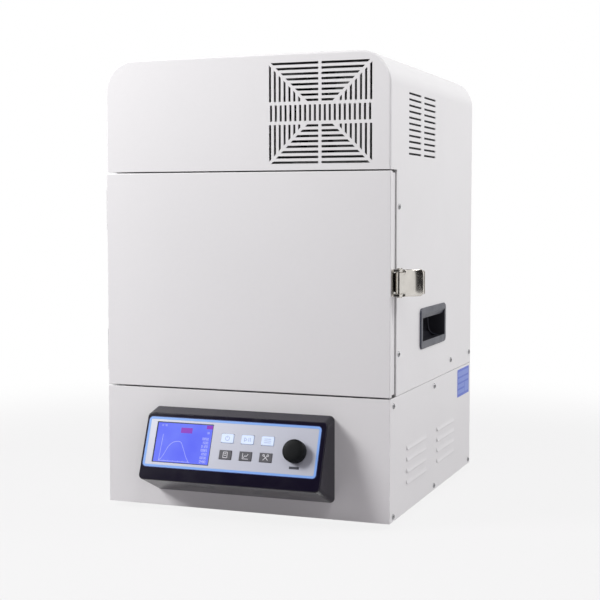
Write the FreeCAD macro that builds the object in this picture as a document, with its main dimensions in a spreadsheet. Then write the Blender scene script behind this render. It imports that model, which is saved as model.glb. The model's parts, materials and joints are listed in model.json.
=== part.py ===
import FreeCAD, Part
import math
import os

import Sketcher

# Bench-top microwave sintering furnace, in millimetres.
# Origin: middle of the cabinet's footprint on the bench. +Z up, +X to the right, the door looks along -Y.

doc = FreeCAD.newDocument("MicrowaveSinteringFurnace")
sheet = doc.addObject("Spreadsheet::Sheet", "Sizes")
Vector = FreeCAD.Vector


class Size:
    """A length that carries its number together with the spreadsheet formula behind it."""

    def __init__(self, formula, number):
        self.formula = formula
        self.number = float(number)

    def __add__(self, other):
        other = as_size(other)
        return Size(f"({self.formula} + {other.formula})", self.number + other.number)

    def __sub__(self, other):
        other = as_size(other)
        return Size(f"({self.formula} - {other.formula})", self.number - other.number)

    def __mul__(self, other):
        other = as_size(other)
        return Size(f"({self.formula} * {other.formula})", self.number * other.number)

    def __truediv__(self, other):
        other = as_size(other)
        return Size(f"({self.formula} / {other.formula})", self.number / other.number)

    def __radd__(self, other):
        return as_size(other) + self

    def __rsub__(self, other):
        return as_size(other) - self

    def __rmul__(self, other):
        return as_size(other) * self

    def __neg__(self):
        return as_size(0) - self

    def __float__(self):
        return self.number


def as_size(value):
    if isinstance(value, Size):
        return value
    return Size(f"({float(value)!r})", value)


def sine(angle):
    return Size(f"sin({angle.formula} * 1 deg)", math.sin(math.radians(angle.number)))


def cosine(angle):
    return Size(f"cos({angle.formula} * 1 deg)", math.cos(math.radians(angle.number)))


def root(size):
    return Size(f"sqrt({size.formula})", math.sqrt(size.number))


def angle_of(rise, run):
    degrees = math.degrees(math.atan2(rise.number, run.number))
    return Size(f"(atan2({rise.formula}; {run.formula}) / 1 deg)", degrees)


sheet_row = 0


def dimension(alias, number, note=""):
    """Write one driving dimension into the sheet and return it."""
    global sheet_row
    sheet_row += 1
    sheet.set(f"A{sheet_row}", alias)
    sheet.set(f"B{sheet_row}", str(number))
    sheet.set(f"C{sheet_row}", note)
    sheet.setAlias(f"B{sheet_row}", alias)
    return Size(f"Sizes.{alias}", number)


# Cabinet
body_width = dimension("body_width", 430, "outside width of cabinet, door and base")
body_depth = dimension("body_depth", 470, "front face to rear face")
foot_height = dimension("foot_height", 8, "bench to the base's lower edge")
base_height = dimension("base_height", 171, "electronics base, lower edge to deck")
door_height = dimension("door_height", 307)
hood_height = dimension("hood_height", 159.5, "hood's lower edge to the roof")
hood_radius = dimension("hood_radius", 44, "rounded roof corners")
sheet_wall = dimension("sheet_wall", 1.5, "steel sheet")
door_gap = dimension("door_gap", 2, "gap above and below the door")
door_thick = dimension("door_thick", 27)
door_rear_gap = dimension("door_rear_gap", 3, "door's back to the front frame")
flange_width = dimension("flange_width", 13.5, "folded returns of the panels")
seam_gap = dimension("seam_gap", 0.6, "line between base and cabinet walls")
edge_radius = dimension("edge_radius", 3, "soft front edge of the hood")
foot_radius = dimension("foot_radius", 16)
foot_inset = dimension("foot_inset", 46, "cabinet side to a foot's middle")
fit_clear = dimension("fit_clear", 0.3, "general clearance between pieces that must not touch")
running_fit = dimension("running_fit", 0.05, "radial clearance of a shaft in its bore")

half_width = body_width / 2
front = -body_depth / 2
rear = body_depth / 2
inside = half_width - sheet_wall
base_bottom = foot_height
base_top = base_bottom + base_height
tray_top = base_bottom + sheet_wall * 2
door_bottom = base_top + door_gap
door_top = door_bottom + door_height
hood_bottom = door_top + door_gap
roof = hood_bottom + hood_height
door_back = front + door_thick
frame_front = door_back + door_rear_gap
frame_back = frame_front + sheet_wall
rear_inside = rear - sheet_wall

nodes = {}


def bind(thing, prop, size):
    thing.setExpression(prop, as_size(size).formula)


def node(name, thing):
    """Name a finished sub-part: its label is also its file's name."""
    thing.Label = name
    nodes[name] = thing
    return thing


def body(name):
    return node(name, doc.addObject("PartDesign::Body", name))


def origin_feature(owner, role):
    return next(f for f in owner.Origin.OriginFeatures if f.Role == role)


def sketch(owner, name, plane, offset):
    """A sketch parallel to one of the body's origin planes, at the given X, Y or Z."""
    made = owner.newObject("Sketcher::SketchObject", name)
    made.AttachmentSupport = [(origin_feature(owner, f"{plane}_Plane"), "")]
    made.MapMode = "FlatFace"
    bind(made, "AttachmentOffset.Base.z", -as_size(offset) if plane == "XZ" else offset)
    return made


def hold(made, geometry, vertex, x, y):
    """Tie a sketch point to its two coordinates."""
    for kind, value in (("DistanceX", as_size(x)), ("DistanceY", as_size(y))):
        row = made.addConstraint(
            Sketcher.Constraint(kind, -1, 1, geometry, vertex, value.number)
        )
        made.setExpression(f"Constraints[{row}]", value.formula)


def outline(made, corners):
    """Draw a closed outline. A corner is (x, y) or (x, y, radius)."""
    count = len(corners)
    points = [Vector(float(c[0]), float(c[1]), 0) for c in corners]
    arcs, starts, ends = [], [], []
    for i, corner in enumerate(corners):
        if len(corner) == 2:
            arcs.append(None)
            starts.append(points[i])
            ends.append(points[i])
            continue
        radius = float(corner[2])
        back = (points[i - 1] - points[i]).normalize()
        ahead = (points[(i + 1) % count] - points[i]).normalize()
        half = back.getAngle(ahead) / 2
        middle_line = (back + ahead).normalize()
        centre = points[i] + middle_line * (radius / math.sin(half))
        starts.append(points[i] + back * (radius / math.tan(half)))
        ends.append(points[i] + ahead * (radius / math.tan(half)))
        arcs.append(Part.Arc(starts[i], centre - middle_line * radius, ends[i]))
    lines = [
        made.addGeometry(Part.LineSegment(ends[i], starts[(i + 1) % count]), False)
        for i in range(count)
    ]
    for i, corner in enumerate(corners):
        before, after = lines[i - 1], lines[i]
        if arcs[i] is None:
            made.addConstraint(Sketcher.Constraint("Coincident", before, 2, after, 1))
            hold(made, after, 1, corner[0], corner[1])
            continue
        arc = made.addGeometry(arcs[i], False)
        runs_on = (arcs[i].StartPoint - starts[i]).Length < 1e-6
        first, last = (1, 2) if runs_on else (2, 1)
        made.addConstraint(Sketcher.Constraint("Tangent", before, 2, arc, first))
        made.addConstraint(Sketcher.Constraint("Tangent", arc, last, after, 1))
        row = made.addConstraint(Sketcher.Constraint("Radius", arc, float(corner[2])))
        made.setExpression(f"Constraints[{row}]", as_size(corner[2]).formula)
        tip = made.addGeometry(Part.Point(points[i]), True)
        made.addConstraint(Sketcher.Constraint("PointOnObject", tip, 1, before))
        made.addConstraint(Sketcher.Constraint("PointOnObject", tip, 1, after))
        hold(made, tip, 1, corner[0], corner[1])


def circle(made, x, y, radius):
    ring = made.addGeometry(
        Part.Circle(Vector(float(x), float(y), 0), Vector(0, 0, 1), float(radius)), False
    )
    row = made.addConstraint(Sketcher.Constraint("Radius", ring, float(radius)))
    made.setExpression(f"Constraints[{row}]", as_size(radius).formula)
    hold(made, ring, 3, x, y)


def rectangle(x_span, y_span, radius=None):
    corners = [(x_span[0], y_span[0]), (x_span[1], y_span[0])]
    corners += [(x_span[1], y_span[1]), (x_span[0], y_span[1])]
    return corners if radius is None else [(x, y, radius) for x, y in corners]


def extrude(owner, name, plane, span, outlines=(), circles=(), cut=False):
    """Pad or pocket from span[0] to span[1] along the plane's own axis."""
    drawn = sketch(owner, f"{name}_sketch", plane, span[0])
    for corners in outlines:
        outline(drawn, corners)
    for x, y, radius in circles:
        circle(drawn, x, y, radius)
    made = owner.newObject("PartDesign::Pocket" if cut else "PartDesign::Pad", name)
    made.Profile = drawn
    made.Reversed = (plane == "XZ") != cut
    bind(made, "Length", as_size(span[1]) - as_size(span[0]))
    return made


def around(x, z, width, height, grow=0, corner=None):
    """A rectangle about a point, its sides moved out by grow."""
    half_w, half_h = width / 2 + grow, height / 2 + grow
    return rectangle((x - half_w, x + half_w), (z - half_h, z + half_h), corner)

def edges_of(shape, wanted):
    """Names of the edges whose two end points both satisfy the test, and that aren't closed."""
    found = []
    for number, edge in enumerate(shape.Edges, 1):
        ends = [v.Point for v in edge.Vertexes]
        if len(ends) == 2 and wanted(edge, *ends):
            found.append(f"Edge{number}")
    return found


def round_edges(owner, name, base, wanted, radius, kind="Fillet"):
    doc.recompute()
    made = owner.newObject(f"PartDesign::{kind}", name)
    made.Base = (base, edges_of(base.Shape, wanted))
    bind(made, "Radius" if kind == "Fillet" else "Size", radius)
    return made


def box(name, x_span, y_span, z_span):
    made = doc.addObject("Part::Box", name)
    for prop, axis, span in (("Length", "x", x_span), ("Width", "y", y_span), ("Height", "z", z_span)):
        low, high = as_size(span[0]), as_size(span[1])
        bind(made, prop, high - low)
        bind(made, f"Placement.Base.{axis}", low)
    return made


TURN = {
    "x": FreeCAD.Rotation(Vector(0, 1, 0), 90),
    "y": FreeCAD.Rotation(Vector(1, 0, 0), -90),
    "z": FreeCAD.Rotation(),
}


def cylinder(name, axis, centre, span, radius):
    """A round bar along an axis; centre gives the other two coordinates in X, Y, Z order."""
    made = doc.addObject("Part::Cylinder", name)
    made.Placement.Rotation = TURN[axis]
    bind(made, "Radius", radius)
    bind(made, "Height", as_size(span[1]) - as_size(span[0]))
    others = [letter for letter in "xyz" if letter != axis]
    for letter, value in zip(others + [axis], list(centre) + [span[0]]):
        bind(made, f"Placement.Base.{letter}", value)
    return made


def join(name, things, kind="Part::MultiFuse"):
    made = doc.addObject(kind, name)
    made.Shapes = things
    return made


def group(name, things):
    made = doc.addObject("Part::Compound", name)
    made.Links = things
    return made


def cut(name, base, tool):
    made = doc.addObject("Part::Cut", name)
    made.Base = base
    made.Tool = tool
    return made


def both_ways(size):
    return (-as_size(size), as_size(size))


def mirrored(side, low, high):
    """A span on the right side, or its mirror image on the left side."""
    return (low, high) if side > 0 else (-as_size(high), -as_size(low))


SIDES = (("right", 1), ("left", -1))


# Electronics base: a floor tray, a front panel, two louvred side panels and a deck on their returns.

def base_floor_tray():
    tray_lip = dimension("tray_lip", 12.5)
    made = body("base_floor_tray")
    run = (-inside + flange_width * 2, inside - flange_width * 2)
    extrude(made, "tray_plate", "XY", (tray_top - sheet_wall, tray_top),
            [rectangle(both_ways(inside), (front + sheet_wall, rear_inside))])
    extrude(made, "tray_rear_lip", "XZ", (rear_inside - sheet_wall, rear_inside),
            [rectangle(run, (tray_top, tray_top + tray_lip))])


def base_front_panel():
    opening = dimension("pod_cable_cutout", 40)
    made = body("base_front_panel")
    inner = front + sheet_wall
    fold = inner + flange_width
    profile = [
        (front, base_bottom), (fold, base_bottom), (fold, base_bottom + sheet_wall),
        (inner, base_bottom + sheet_wall), (inner, base_top - sheet_wall * 2),
        (fold, base_top - sheet_wall * 2), (fold, base_top - sheet_wall),
        (inner, base_top - sheet_wall), (inner, base_top), (front, base_top),
    ]
    extrude(made, "folded_section", "YZ", (-inside, inside), [profile])
    for side_name, side in SIDES:
        extrude(made, f"corner_{side_name}", "YZ", mirrored(side, inside, half_width),
                [rectangle((front, inner), (base_bottom, base_top))])
    middle = base_bottom + base_height / 2
    extrude(made, "cable_cutout", "XZ", (front, inner),
            [rectangle(both_ways(opening), (middle - opening / 2, middle + opening / 2))], cut=True)


louvre_height = dimension("louvre_height", 7)
louvre_rise = dimension("louvre_rise", 2.2)
louvre_pitch = dimension("louvre_pitch", 16.4)
louvre_length = dimension("louvre_length", 104)
louvre_first = dimension("louvre_first", 47.5, "lowest louvre's lower edge")
louvre_front = dimension("louvre_front", 82, "front face to the front louvres")
louvre_rear = dimension("louvre_rear", 250, "front face to the rear louvres")
LOUVRE_ROWS = 4


def base_side_panel(side_name, side):
    made = body(f"base_side_panel_{side_name}")
    y_run = (front + sheet_wall, rear_inside)
    extrude(made, "web", "YZ", mirrored(side, inside, half_width),
            [rectangle(y_run, (base_bottom, base_top))])
    fold = mirrored(side, inside - flange_width, inside)
    y_fold = (front + sheet_wall * 2 + flange_width, rear_inside - flange_width)
    low = (base_bottom, base_bottom + sheet_wall)
    high = (base_top - sheet_wall * 2, base_top - sheet_wall)
    for name, heights in (("lower_return", low), ("upper_return", high)):
        extrude(made, name, "XY", heights, [rectangle(fold, y_fold)])
    crest = half_width + louvre_rise
    for place, start in (("front", louvre_front), ("rear", louvre_rear)):
        run = (front + start, front + start + louvre_length)
        hoods, mouths = [], []
        for row in range(LOUVRE_ROWS):
            low_edge = louvre_first + louvre_pitch * row
            top_edge = low_edge + louvre_height
            hoods.append([(side * half_width, low_edge), (side * crest, low_edge),
                          (side * half_width, top_edge)])
            low_mouth = low_edge - seam_gap
            mouths.append([(side * inside, low_mouth), (side * (crest - seam_gap), low_mouth),
                           (side * inside, top_edge - sheet_wall * 2)])
        extrude(made, f"{place}_hoods", "XZ", run, hoods)
        reach = (run[0] + sheet_wall, run[1] - sheet_wall)
        extrude(made, f"{place}_mouths", "XZ", reach, mouths, cut=True)


def base_deck():
    y = (front + sheet_wall, rear_inside)
    node("base_deck", box("base_deck", both_ways(inside), y, (base_top - sheet_wall, base_top)))


def feet():
    taper = dimension("foot_taper", 3)
    made = []
    top = base_bottom + sheet_wall
    for number in range(4):
        foot = doc.addObject("Part::Cone", f"foot_{number + 1}")
        bind(foot, "Radius1", foot_radius - taper)
        bind(foot, "Radius2", foot_radius)
        bind(foot, "Height", top)
        x = half_width - foot_inset
        y = rear - foot_inset
        bind(foot, "Placement.Base.x", x if number % 2 else -x)
        bind(foot, "Placement.Base.y", y if number // 2 else -y)
        made.append(foot)
    node("feet", group("feet", made))


# Hood: an arched wrap over the cabinet and a shallow front pan that holds the exhaust grille.

def arch(width, bottom, top, radius):
    return [(-width, bottom), (width, bottom), (width, top, radius), (-width, top, radius)]


hood_pan_depth = dimension("hood_pan_depth", 12)
vent_rows = dimension("vent_rows", 11)
vent_pitch = dimension("vent_pitch", 8.4)
vent_height = dimension("vent_height", 2.8)
vent_length = dimension("vent_length", 64)
vent_first = dimension("vent_first", 512.5, "lowest vent's lower edge")
vent_front = dimension("vent_front", 88, "front face to the front vents")
vent_rear = dimension("vent_rear", 168, "front face to the rear vents")
grip_length = dimension("grip_length", 145, "recessed carrying handle")
grip_height = dimension("grip_height", 60)
grip_front = dimension("grip_front", 149, "front face to the handle's frame")
grip_bottom = dimension("grip_bottom", 232)
grip_rim = dimension("grip_rim", 6, "frame's lap on the cabinet wall")
grip_depth = dimension("grip_depth", 27)
grip_wall = dimension("grip_wall", 2)
grip_clear = dimension("grip_clear", 0.5)
grip_flange = dimension("grip_flange", 2.5)
grip_corner = dimension("grip_corner", 8)
grip_lip = dimension("grip_lip", 12)
grip_lip_depth = dimension("grip_lip_depth", 10)


def hood_wrap():
    made = body("hood_wrap")
    pan_back = front + hood_pan_depth
    wall_bottom = base_top + seam_gap
    extrude(made, "arch_pad", "XZ", (pan_back, rear_inside),
            [arch(half_width, wall_bottom, roof, hood_radius)])
    extrude(made, "arch_hollow", "XZ", (pan_back, rear_inside),
            [arch(inside, wall_bottom, roof - sheet_wall, hood_radius - sheet_wall)], cut=True)
    notch = rectangle(both_ways(half_width + sheet_wall), (wall_bottom - sheet_wall, hood_bottom))
    extrude(made, "door_notch", "XZ", (pan_back, frame_front), [notch], cut=True)
    for side_name, side in SIDES:
        wall = mirrored(side, inside, half_width)
        y_hole = (front + grip_front + grip_rim, front + grip_front + grip_length - grip_rim)
        z_hole = (grip_bottom + grip_rim, grip_bottom + grip_height - grip_rim)
        extrude(made, f"grip_hole_{side_name}", "YZ", wall, [rectangle(y_hole, z_hole)], cut=True)
        slots = [
            rectangle((front + start, front + start + vent_length),
                      (vent_first, vent_first + vent_height))
            for start in (vent_front, vent_rear)
        ]
        slot = extrude(made, f"vents_{side_name}", "YZ", wall, slots, cut=True)
        rows = made.newObject("PartDesign::LinearPattern", f"vent_rows_{side_name}")
        rows.Originals = [slot]
        rows.Direction = (origin_feature(made, "Z_Axis"), [""])
        bind(rows, "Length", vent_pitch * (vent_rows - 1))
        bind(rows, "Occurrences", vent_rows)
        made.Tip = rows


grille_x = dimension("grille_x", 114, "cabinet's middle to the grille's middle")
grille_z = dimension("grille_z", 567.8)
grille_first = dimension("grille_first", 17.3, "middle to the first slot")
grille_pitch = dimension("grille_pitch", 7.15)
grille_slot = dimension("grille_slot", 3.2)
grille_rib = dimension("grille_rib", 4.2, "diagonal ribs")
grille_mullion = dimension("grille_mullion", 4.6, "upright rib in the middle")
grille_offset = dimension("grille_offset", 5.6, "extra width of each ring over its height")
grille_mid_slot = dimension("grille_mid_slot", 22, "height of the upright slots of the middle band")
GRILLE_RINGS = 8


def grille_cutter():
    """Rings of slots crossed by diagonal ribs, an upright rib and a middle band of upright slots."""
    depth = (front - sheet_wall, front + sheet_wall * 2)
    rings = []
    for ring in range(GRILLE_RINGS):
        half_height = grille_first + grille_pitch * ring
        reach = half_height + grille_offset
        spans = []
        for grow in (grille_slot / 2, -grille_slot / 2):
            spans.append(((grille_x - reach - grow, grille_x + reach + grow), depth,
                          (grille_z - half_height - grow, grille_z + half_height + grow)))
        outer = box(f"ring_{ring}_outer", *spans[0])
        inner = box(f"ring_{ring}_inner", *spans[1])
        rings.append(cut(f"ring_{ring}", outer, inner))
    all_rings = group("grille_rings", rings)
    band = grille_first - grille_slot / 2
    last = grille_first + grille_pitch * GRILLE_RINGS
    ribs = [
        box("grille_band", (grille_x - last * 2, grille_x + last * 2), depth,
            (grille_z - band, grille_z + band)),
        box("grille_upright", (grille_x - grille_mullion / 2, grille_x + grille_mullion / 2), depth,
            (grille_z - last, grille_z + last)),
    ]
    for angle in (-45, 45, -135, 135):
        across = 1 if abs(angle) < 90 else -1
        rib = doc.addObject("Part::Box", f"grille_rib_{angle + 180}")
        bind(rib, "Length", last * 2)
        bind(rib, "Width", depth[1] - depth[0])
        bind(rib, "Height", grille_rib)
        rib.Placement.Rotation = FreeCAD.Rotation(Vector(0, 1, 0), angle)
        turn = math.radians(angle)
        corner_x = grille_x + across * grille_offset - grille_rib * (math.sin(turn) / 2)
        bind(rib, "Placement.Base.x", corner_x)
        bind(rib, "Placement.Base.y", depth[0])
        bind(rib, "Placement.Base.z", grille_z - grille_rib * (math.cos(turn) / 2))
        ribs.append(rib)
    slots = cut("grille_slots", all_rings, join("grille_ribs", ribs))
    middle = []
    half_slot = grille_slot / 2
    columns = [0.0] + [side * step for step in range(1, GRILLE_RINGS + 3) for side in (1, -1)]
    for number, step in enumerate(columns):
        x = grille_x + grille_pitch * step
        middle.append(box(f"middle_slot_{number}", (x - half_slot, x + half_slot), depth,
                          (grille_z - grille_mid_slot / 2, grille_z + grille_mid_slot / 2)))
    return group("grille_cutter", [slots] + middle)


def hood_front_panel():
    made = doc.addObject("PartDesign::Body", "hood_front_pan")
    back = front + hood_pan_depth
    pad = extrude(made, "pan_pad", "XZ", (front, back),
                  [arch(half_width, hood_bottom, roof, hood_radius)])

    def on_front(edge, start, end):
        at_front = all(abs(p.y - float(front)) < 1e-4 for p in (start, end))
        return at_front and max(start.z, end.z) > float(hood_bottom) + 1

    round_edges(made, "soft_front_edge", pad, on_front, edge_radius)
    extrude(made, "pan_hollow", "XZ", (front + sheet_wall, back),
            [arch(inside, hood_bottom + sheet_wall, roof - sheet_wall, hood_radius - sheet_wall)], cut=True)
    extrude(made, "sill", "XY", (hood_bottom, hood_bottom + sheet_wall),
            [rectangle(both_ways(inside), (front + sheet_wall, frame_front))])
    node("hood_front_panel", cut("hood_front_panel", made, grille_cutter()))


# Cabinet frame, rear panel, microwave cavity and its insulation.

cavity_half = dimension("cavity_half", 125, "half of the cavity's inside width")
cavity_bottom = dimension("cavity_bottom", 210)
cavity_height = dimension("cavity_height", 240)
cavity_depth = dimension("cavity_depth", 248)
cavity_lip = dimension("cavity_lip", 12)
fibre_wall = dimension("fibre_wall", 50, "side walls of the fibre box")
fibre_floor = dimension("fibre_floor", 55)
fibre_clear = dimension("fibre_clear", 1)
chamber_radius = dimension("chamber_radius", 5)
sensor_x = dimension("sensor_x", 34, "thermocouple, from the cabinet's middle")
sensor_y = dimension("sensor_y", -84)
sensor_radius = dimension("sensor_radius", 4)
sensor_reach = dimension("sensor_reach", 22, "tip below the chamber's roof")

cavity_top = cavity_bottom + cavity_height
cavity_back = frame_back + cavity_depth
chamber_half = cavity_half - fibre_clear - fibre_wall
chamber_bottom = cavity_bottom + fibre_floor
chamber_top = cavity_top - fibre_floor
chamber_middle = cavity_bottom + cavity_height / 2
fibre_back = cavity_back - fibre_clear
chamber_back = fibre_back - fibre_wall


def front_frame():
    made = body("front_frame")
    top = hood_bottom + flange_width
    extrude(made, "frame_plate", "XZ", (frame_front, frame_back),
            [rectangle(both_ways(inside), (base_top, top))])
    extrude(made, "frame_mouth", "XZ", (frame_front, frame_back),
            [rectangle(both_ways(cavity_half), (cavity_bottom, cavity_top))], cut=True)


def microwave_cavity():
    made = body("microwave_cavity")
    outer = cavity_half + sheet_wall
    low, high = cavity_bottom - sheet_wall, cavity_top + sheet_wall
    extrude(made, "cavity_pad", "XZ", (frame_back, cavity_back + sheet_wall),
            [rectangle(both_ways(outer), (low, high))])
    extrude(made, "cavity_flange", "XZ", (frame_back, frame_back + sheet_wall),
            [rectangle(both_ways(outer + cavity_lip), (low - cavity_lip, high + cavity_lip))])
    extrude(made, "cavity_hollow", "XZ", (frame_back, cavity_back),
            [rectangle(both_ways(cavity_half), (cavity_bottom, cavity_top))], cut=True)
    extrude(made, "sensor_hole", "XY", (cavity_top, high),
            circles=[(sensor_x, sensor_y, sensor_radius + fibre_clear)], cut=True)


def cavity_supports():
    rail = dimension("support_rail", 30)
    made = []
    y_run = (frame_back + cavity_lip * 2, cavity_back - cavity_lip * 2)
    for side_name, side in SIDES:
        x = mirrored(side, cavity_half - rail * 1.5, cavity_half - rail / 2)
        outer = box(f"support_{side_name}_block", x, y_run, (base_top, cavity_bottom - sheet_wall))
        inner_x = (x[0] + sheet_wall, x[1] - sheet_wall)
        hollow = box(f"support_{side_name}_hollow", inner_x, (y_run[0] - 1, y_run[1] + 1),
                     (base_top - 1, cavity_bottom - sheet_wall * 2))
        made.append(cut(f"support_{side_name}", outer, hollow))
    node("cavity_supports", group("cavity_supports", made))


def insulation_box():
    made = body("insulation_box")
    outer = cavity_half - fibre_clear
    extrude(made, "fibre_block", "XZ", (frame_back, fibre_back),
            [rectangle(both_ways(outer), (cavity_bottom, cavity_top - fibre_clear))])
    extrude(made, "chamber", "XZ", (frame_back, chamber_back),
            [rectangle(both_ways(chamber_half), (chamber_bottom, chamber_top), chamber_radius)], cut=True)
    extrude(made, "sensor_bore", "XY", (chamber_top - 1, cavity_top),
            circles=[(sensor_x, sensor_y, sensor_radius + fibre_clear)], cut=True)


def susceptor_plates():
    thick = dimension("susceptor_thick", 8)
    tall = dimension("susceptor_height", 112)
    length = dimension("susceptor_length", 96)
    inset = dimension("susceptor_inset", 14)
    made = []
    y = (chamber_back - inset - length, chamber_back - inset)
    z = (chamber_bottom + chamber_radius, chamber_bottom + chamber_radius + tall)
    for side_name, side in SIDES:
        x = mirrored(side, chamber_half - thick, chamber_half)
        made.append(box(f"susceptor_{side_name}", x, y, z))
    node("susceptor_plates", group("susceptor_plates", made))


def hearth_plate():
    thick = dimension("hearth_thick", 8)
    half = dimension("hearth_half", 52)
    made = body("hearth_plate")
    y = (chamber_back - half * 2 - chamber_radius, chamber_back - chamber_radius)
    extrude(made, "plate", "XY", (chamber_bottom, chamber_bottom + thick),
            [rectangle(both_ways(half), y, chamber_radius)])


def thermocouple():
    head_radius = dimension("sensor_head_radius", 12)
    head_height = dimension("sensor_head_height", 24)
    made = body("thermocouple")
    seat = cavity_top + sheet_wall
    stack = (("sheath", (chamber_top - sensor_reach, seat), sensor_radius),
             ("flange", (seat, seat + sheet_wall * 2), head_radius * 1.5),
             ("head", (seat + sheet_wall * 2, seat + head_height), head_radius))
    for name, heights, radius in stack:
        extrude(made, name, "XY", heights, circles=[(sensor_x, sensor_y, radius)])


guide_width = dimension("guide_width", 90, "waveguide")
guide_height = dimension("guide_height", 45)
guide_length = dimension("guide_length", 170)
guide_x = dimension("guide_x", -60)
guide_bottom = cavity_top + sheet_wall
guide_top = guide_bottom + guide_height
MAGNETRONS = 2
MAGNETRON_FINS = 7


def waveguide():
    made = body("waveguide")
    x = (guide_x - guide_width / 2, guide_x + guide_width / 2)
    y = (cavity_back - guide_length, cavity_back)
    extrude(made, "guide", "XY", (guide_bottom, guide_top), [rectangle(x, y)])
    inner_x = (x[0] + sheet_wall, x[1] - sheet_wall)
    extrude(made, "guide_hollow", "XZ", (y[0] + sheet_wall, y[1] - sheet_wall),
            [rectangle(inner_x, (guide_bottom + sheet_wall, guide_top - sheet_wall))], cut=True)


def magnetrons():
    """Each has a yoke of four plates around a finned anode, and stands on the waveguide."""
    yoke_length = dimension("magnetron_length", 74)
    yoke_height = dimension("magnetron_height", 62)
    yoke_wall = dimension("magnetron_yoke_wall", 3)
    fin_thick = dimension("magnetron_fin", 1.2)
    anode_radius = dimension("anode_radius", 22)
    top = guide_top + yoke_height
    x = (guide_x - guide_width / 2, guide_x + guide_width / 2)
    fin_x = (x[0] + yoke_wall, x[1] - yoke_wall)
    pitch = (yoke_height - yoke_wall * 2) / (MAGNETRON_FINS + 1)
    made = []
    for number in range(MAGNETRONS):
        near = cavity_back - guide_length / MAGNETRONS * (number + 1) + sheet_wall
        y = (near, near + yoke_length)
        name = f"magnetron_{number}"
        plates = [
            box(f"{name}_base", x, y, (guide_top, guide_top + yoke_wall)),
            box(f"{name}_top", x, y, (top - yoke_wall, top)),
            box(f"{name}_near", x, (y[0], y[0] + yoke_wall), (guide_top, top)),
            box(f"{name}_far", x, (y[1] - yoke_wall, y[1]), (guide_top, top)),
            cylinder(f"{name}_anode", "z", (guide_x, near + yoke_length / 2), (guide_top, top), anode_radius),
        ]
        for fin in range(MAGNETRON_FINS):
            z = guide_top + yoke_wall + pitch * (fin + 1) - fin_thick / 2
            plates.append(box(f"{name}_fin_{fin}", fin_x, y, (z, z + fin_thick)))
        made.append(join(name, plates))
    node("magnetrons", group("magnetrons", made))


inlet_x = dimension("inlet_x", 150, "mains inlet, from the cabinet's middle")
inlet_z = dimension("inlet_z", 66)
inlet_width = dimension("inlet_width", 48)
inlet_height = dimension("inlet_height", 28)
inlet_socket_width = dimension("inlet_socket_width", 24)
inlet_socket_height = dimension("inlet_socket_height", 16.5)
switch_x = dimension("switch_x", 92)
switch_width = dimension("switch_width", 28)
switch_height = dimension("switch_height", 22)
rear_vent_rows = dimension("rear_vent_rows", 8)
rear_vent_length = dimension("rear_vent_length", 90)
rear_vent_gap = dimension("rear_vent_gap", 22.5, "between the two columns of vents")
rear_vent_pitch = dimension("rear_vent_pitch", 10)
rear_vent_first = dimension("rear_vent_first", 528)


def rear_panel():
    made = body("rear_panel")
    span = (rear_inside, rear)
    extrude(made, "panel", "XZ", span, [arch(half_width, base_bottom, roof, hood_radius)])
    holes = [
        around(inlet_x, inlet_z, inlet_width - sheet_wall * 4, inlet_height - sheet_wall * 2),
        around(switch_x, inlet_z, switch_width - sheet_wall * 2, switch_height - sheet_wall * 2),
    ]
    extrude(made, "inlet_cutouts", "XZ", span, holes, cut=True)
    offset = (rear_vent_length + rear_vent_gap) / 2
    middle = rear_vent_first + vent_height / 2
    slots = [around(x, middle, rear_vent_length, vent_height) for x in both_ways(offset)]
    slot = extrude(made, "rear_vents", "XZ", span, slots, cut=True)
    rows = made.newObject("PartDesign::LinearPattern", "rear_vent_rows")
    rows.Originals = [slot]
    rows.Direction = (origin_feature(made, "Z_Axis"), [""])
    bind(rows, "Length", rear_vent_pitch * (rear_vent_rows - 1))
    bind(rows, "Occurrences", rear_vent_rows)
    made.Tip = rows


def power_inlet():
    """Recessed appliance inlet with three flat contacts."""
    body_deep = dimension("inlet_body_depth", 26)
    recess = dimension("inlet_recess", 17)
    blade = dimension("inlet_blade", 4)
    pin_thick = dimension("inlet_blade_thick", 2)
    blade_reach = dimension("inlet_blade_reach", 9)
    blade_pitch_x = dimension("inlet_blade_pitch", 7)
    blade_stagger = dimension("inlet_blade_stagger", 2)
    flange = dimension("inlet_flange", 2.5)
    made = body("power_inlet")
    extrude(made, "flange", "XZ", (rear, rear + flange),
            [around(inlet_x, inlet_z, inlet_width, inlet_height, 0, flange)])
    shell_width = inlet_width - (sheet_wall * 2 + fit_clear) * 2
    shell_height = inlet_height - (sheet_wall + fit_clear) * 2
    extrude(made, "shell", "XZ", (rear + flange - body_deep, rear),
            [around(inlet_x, inlet_z, shell_width, shell_height)])
    floor = rear + flange - recess
    extrude(made, "socket", "XZ", (floor, rear + flange),
            [around(inlet_x, inlet_z, inlet_socket_width, inlet_socket_height)], cut=True)
    blades = [
        around(inlet_x + blade_pitch_x * step, inlet_z + blade_stagger * lift, pin_thick, blade)
        for step, lift in ((-1, -1), (0, 1), (1, -1))
    ]
    extrude(made, "blades", "XZ", (floor, floor + blade_reach), blades)


rocker_pin_depth = dimension("rocker_pin_depth", 3, "rocker's pin behind the panel's face")
rocker_pin = dimension("rocker_pin", 1.2)
rocker_angle = dimension("rocker_angle", 11, "tip to either side of level")
rocker_swing = dimension("rocker_swing", 9, "depth left free for the rocker below its pin")
rocker_end_gap = dimension("rocker_end_gap", 1.2)
rocker_crown = dimension("rocker_crown", 2.4)
bezel = dimension("switch_bezel", 2)
case_half_width = switch_width / 2 - sheet_wall - fit_clear
case_half_height = switch_height / 2 - sheet_wall - fit_clear
well_half_width = case_half_width - sheet_wall
well_half_height = case_half_height - sheet_wall
rocker_pin_y = rear - rocker_pin_depth


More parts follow.
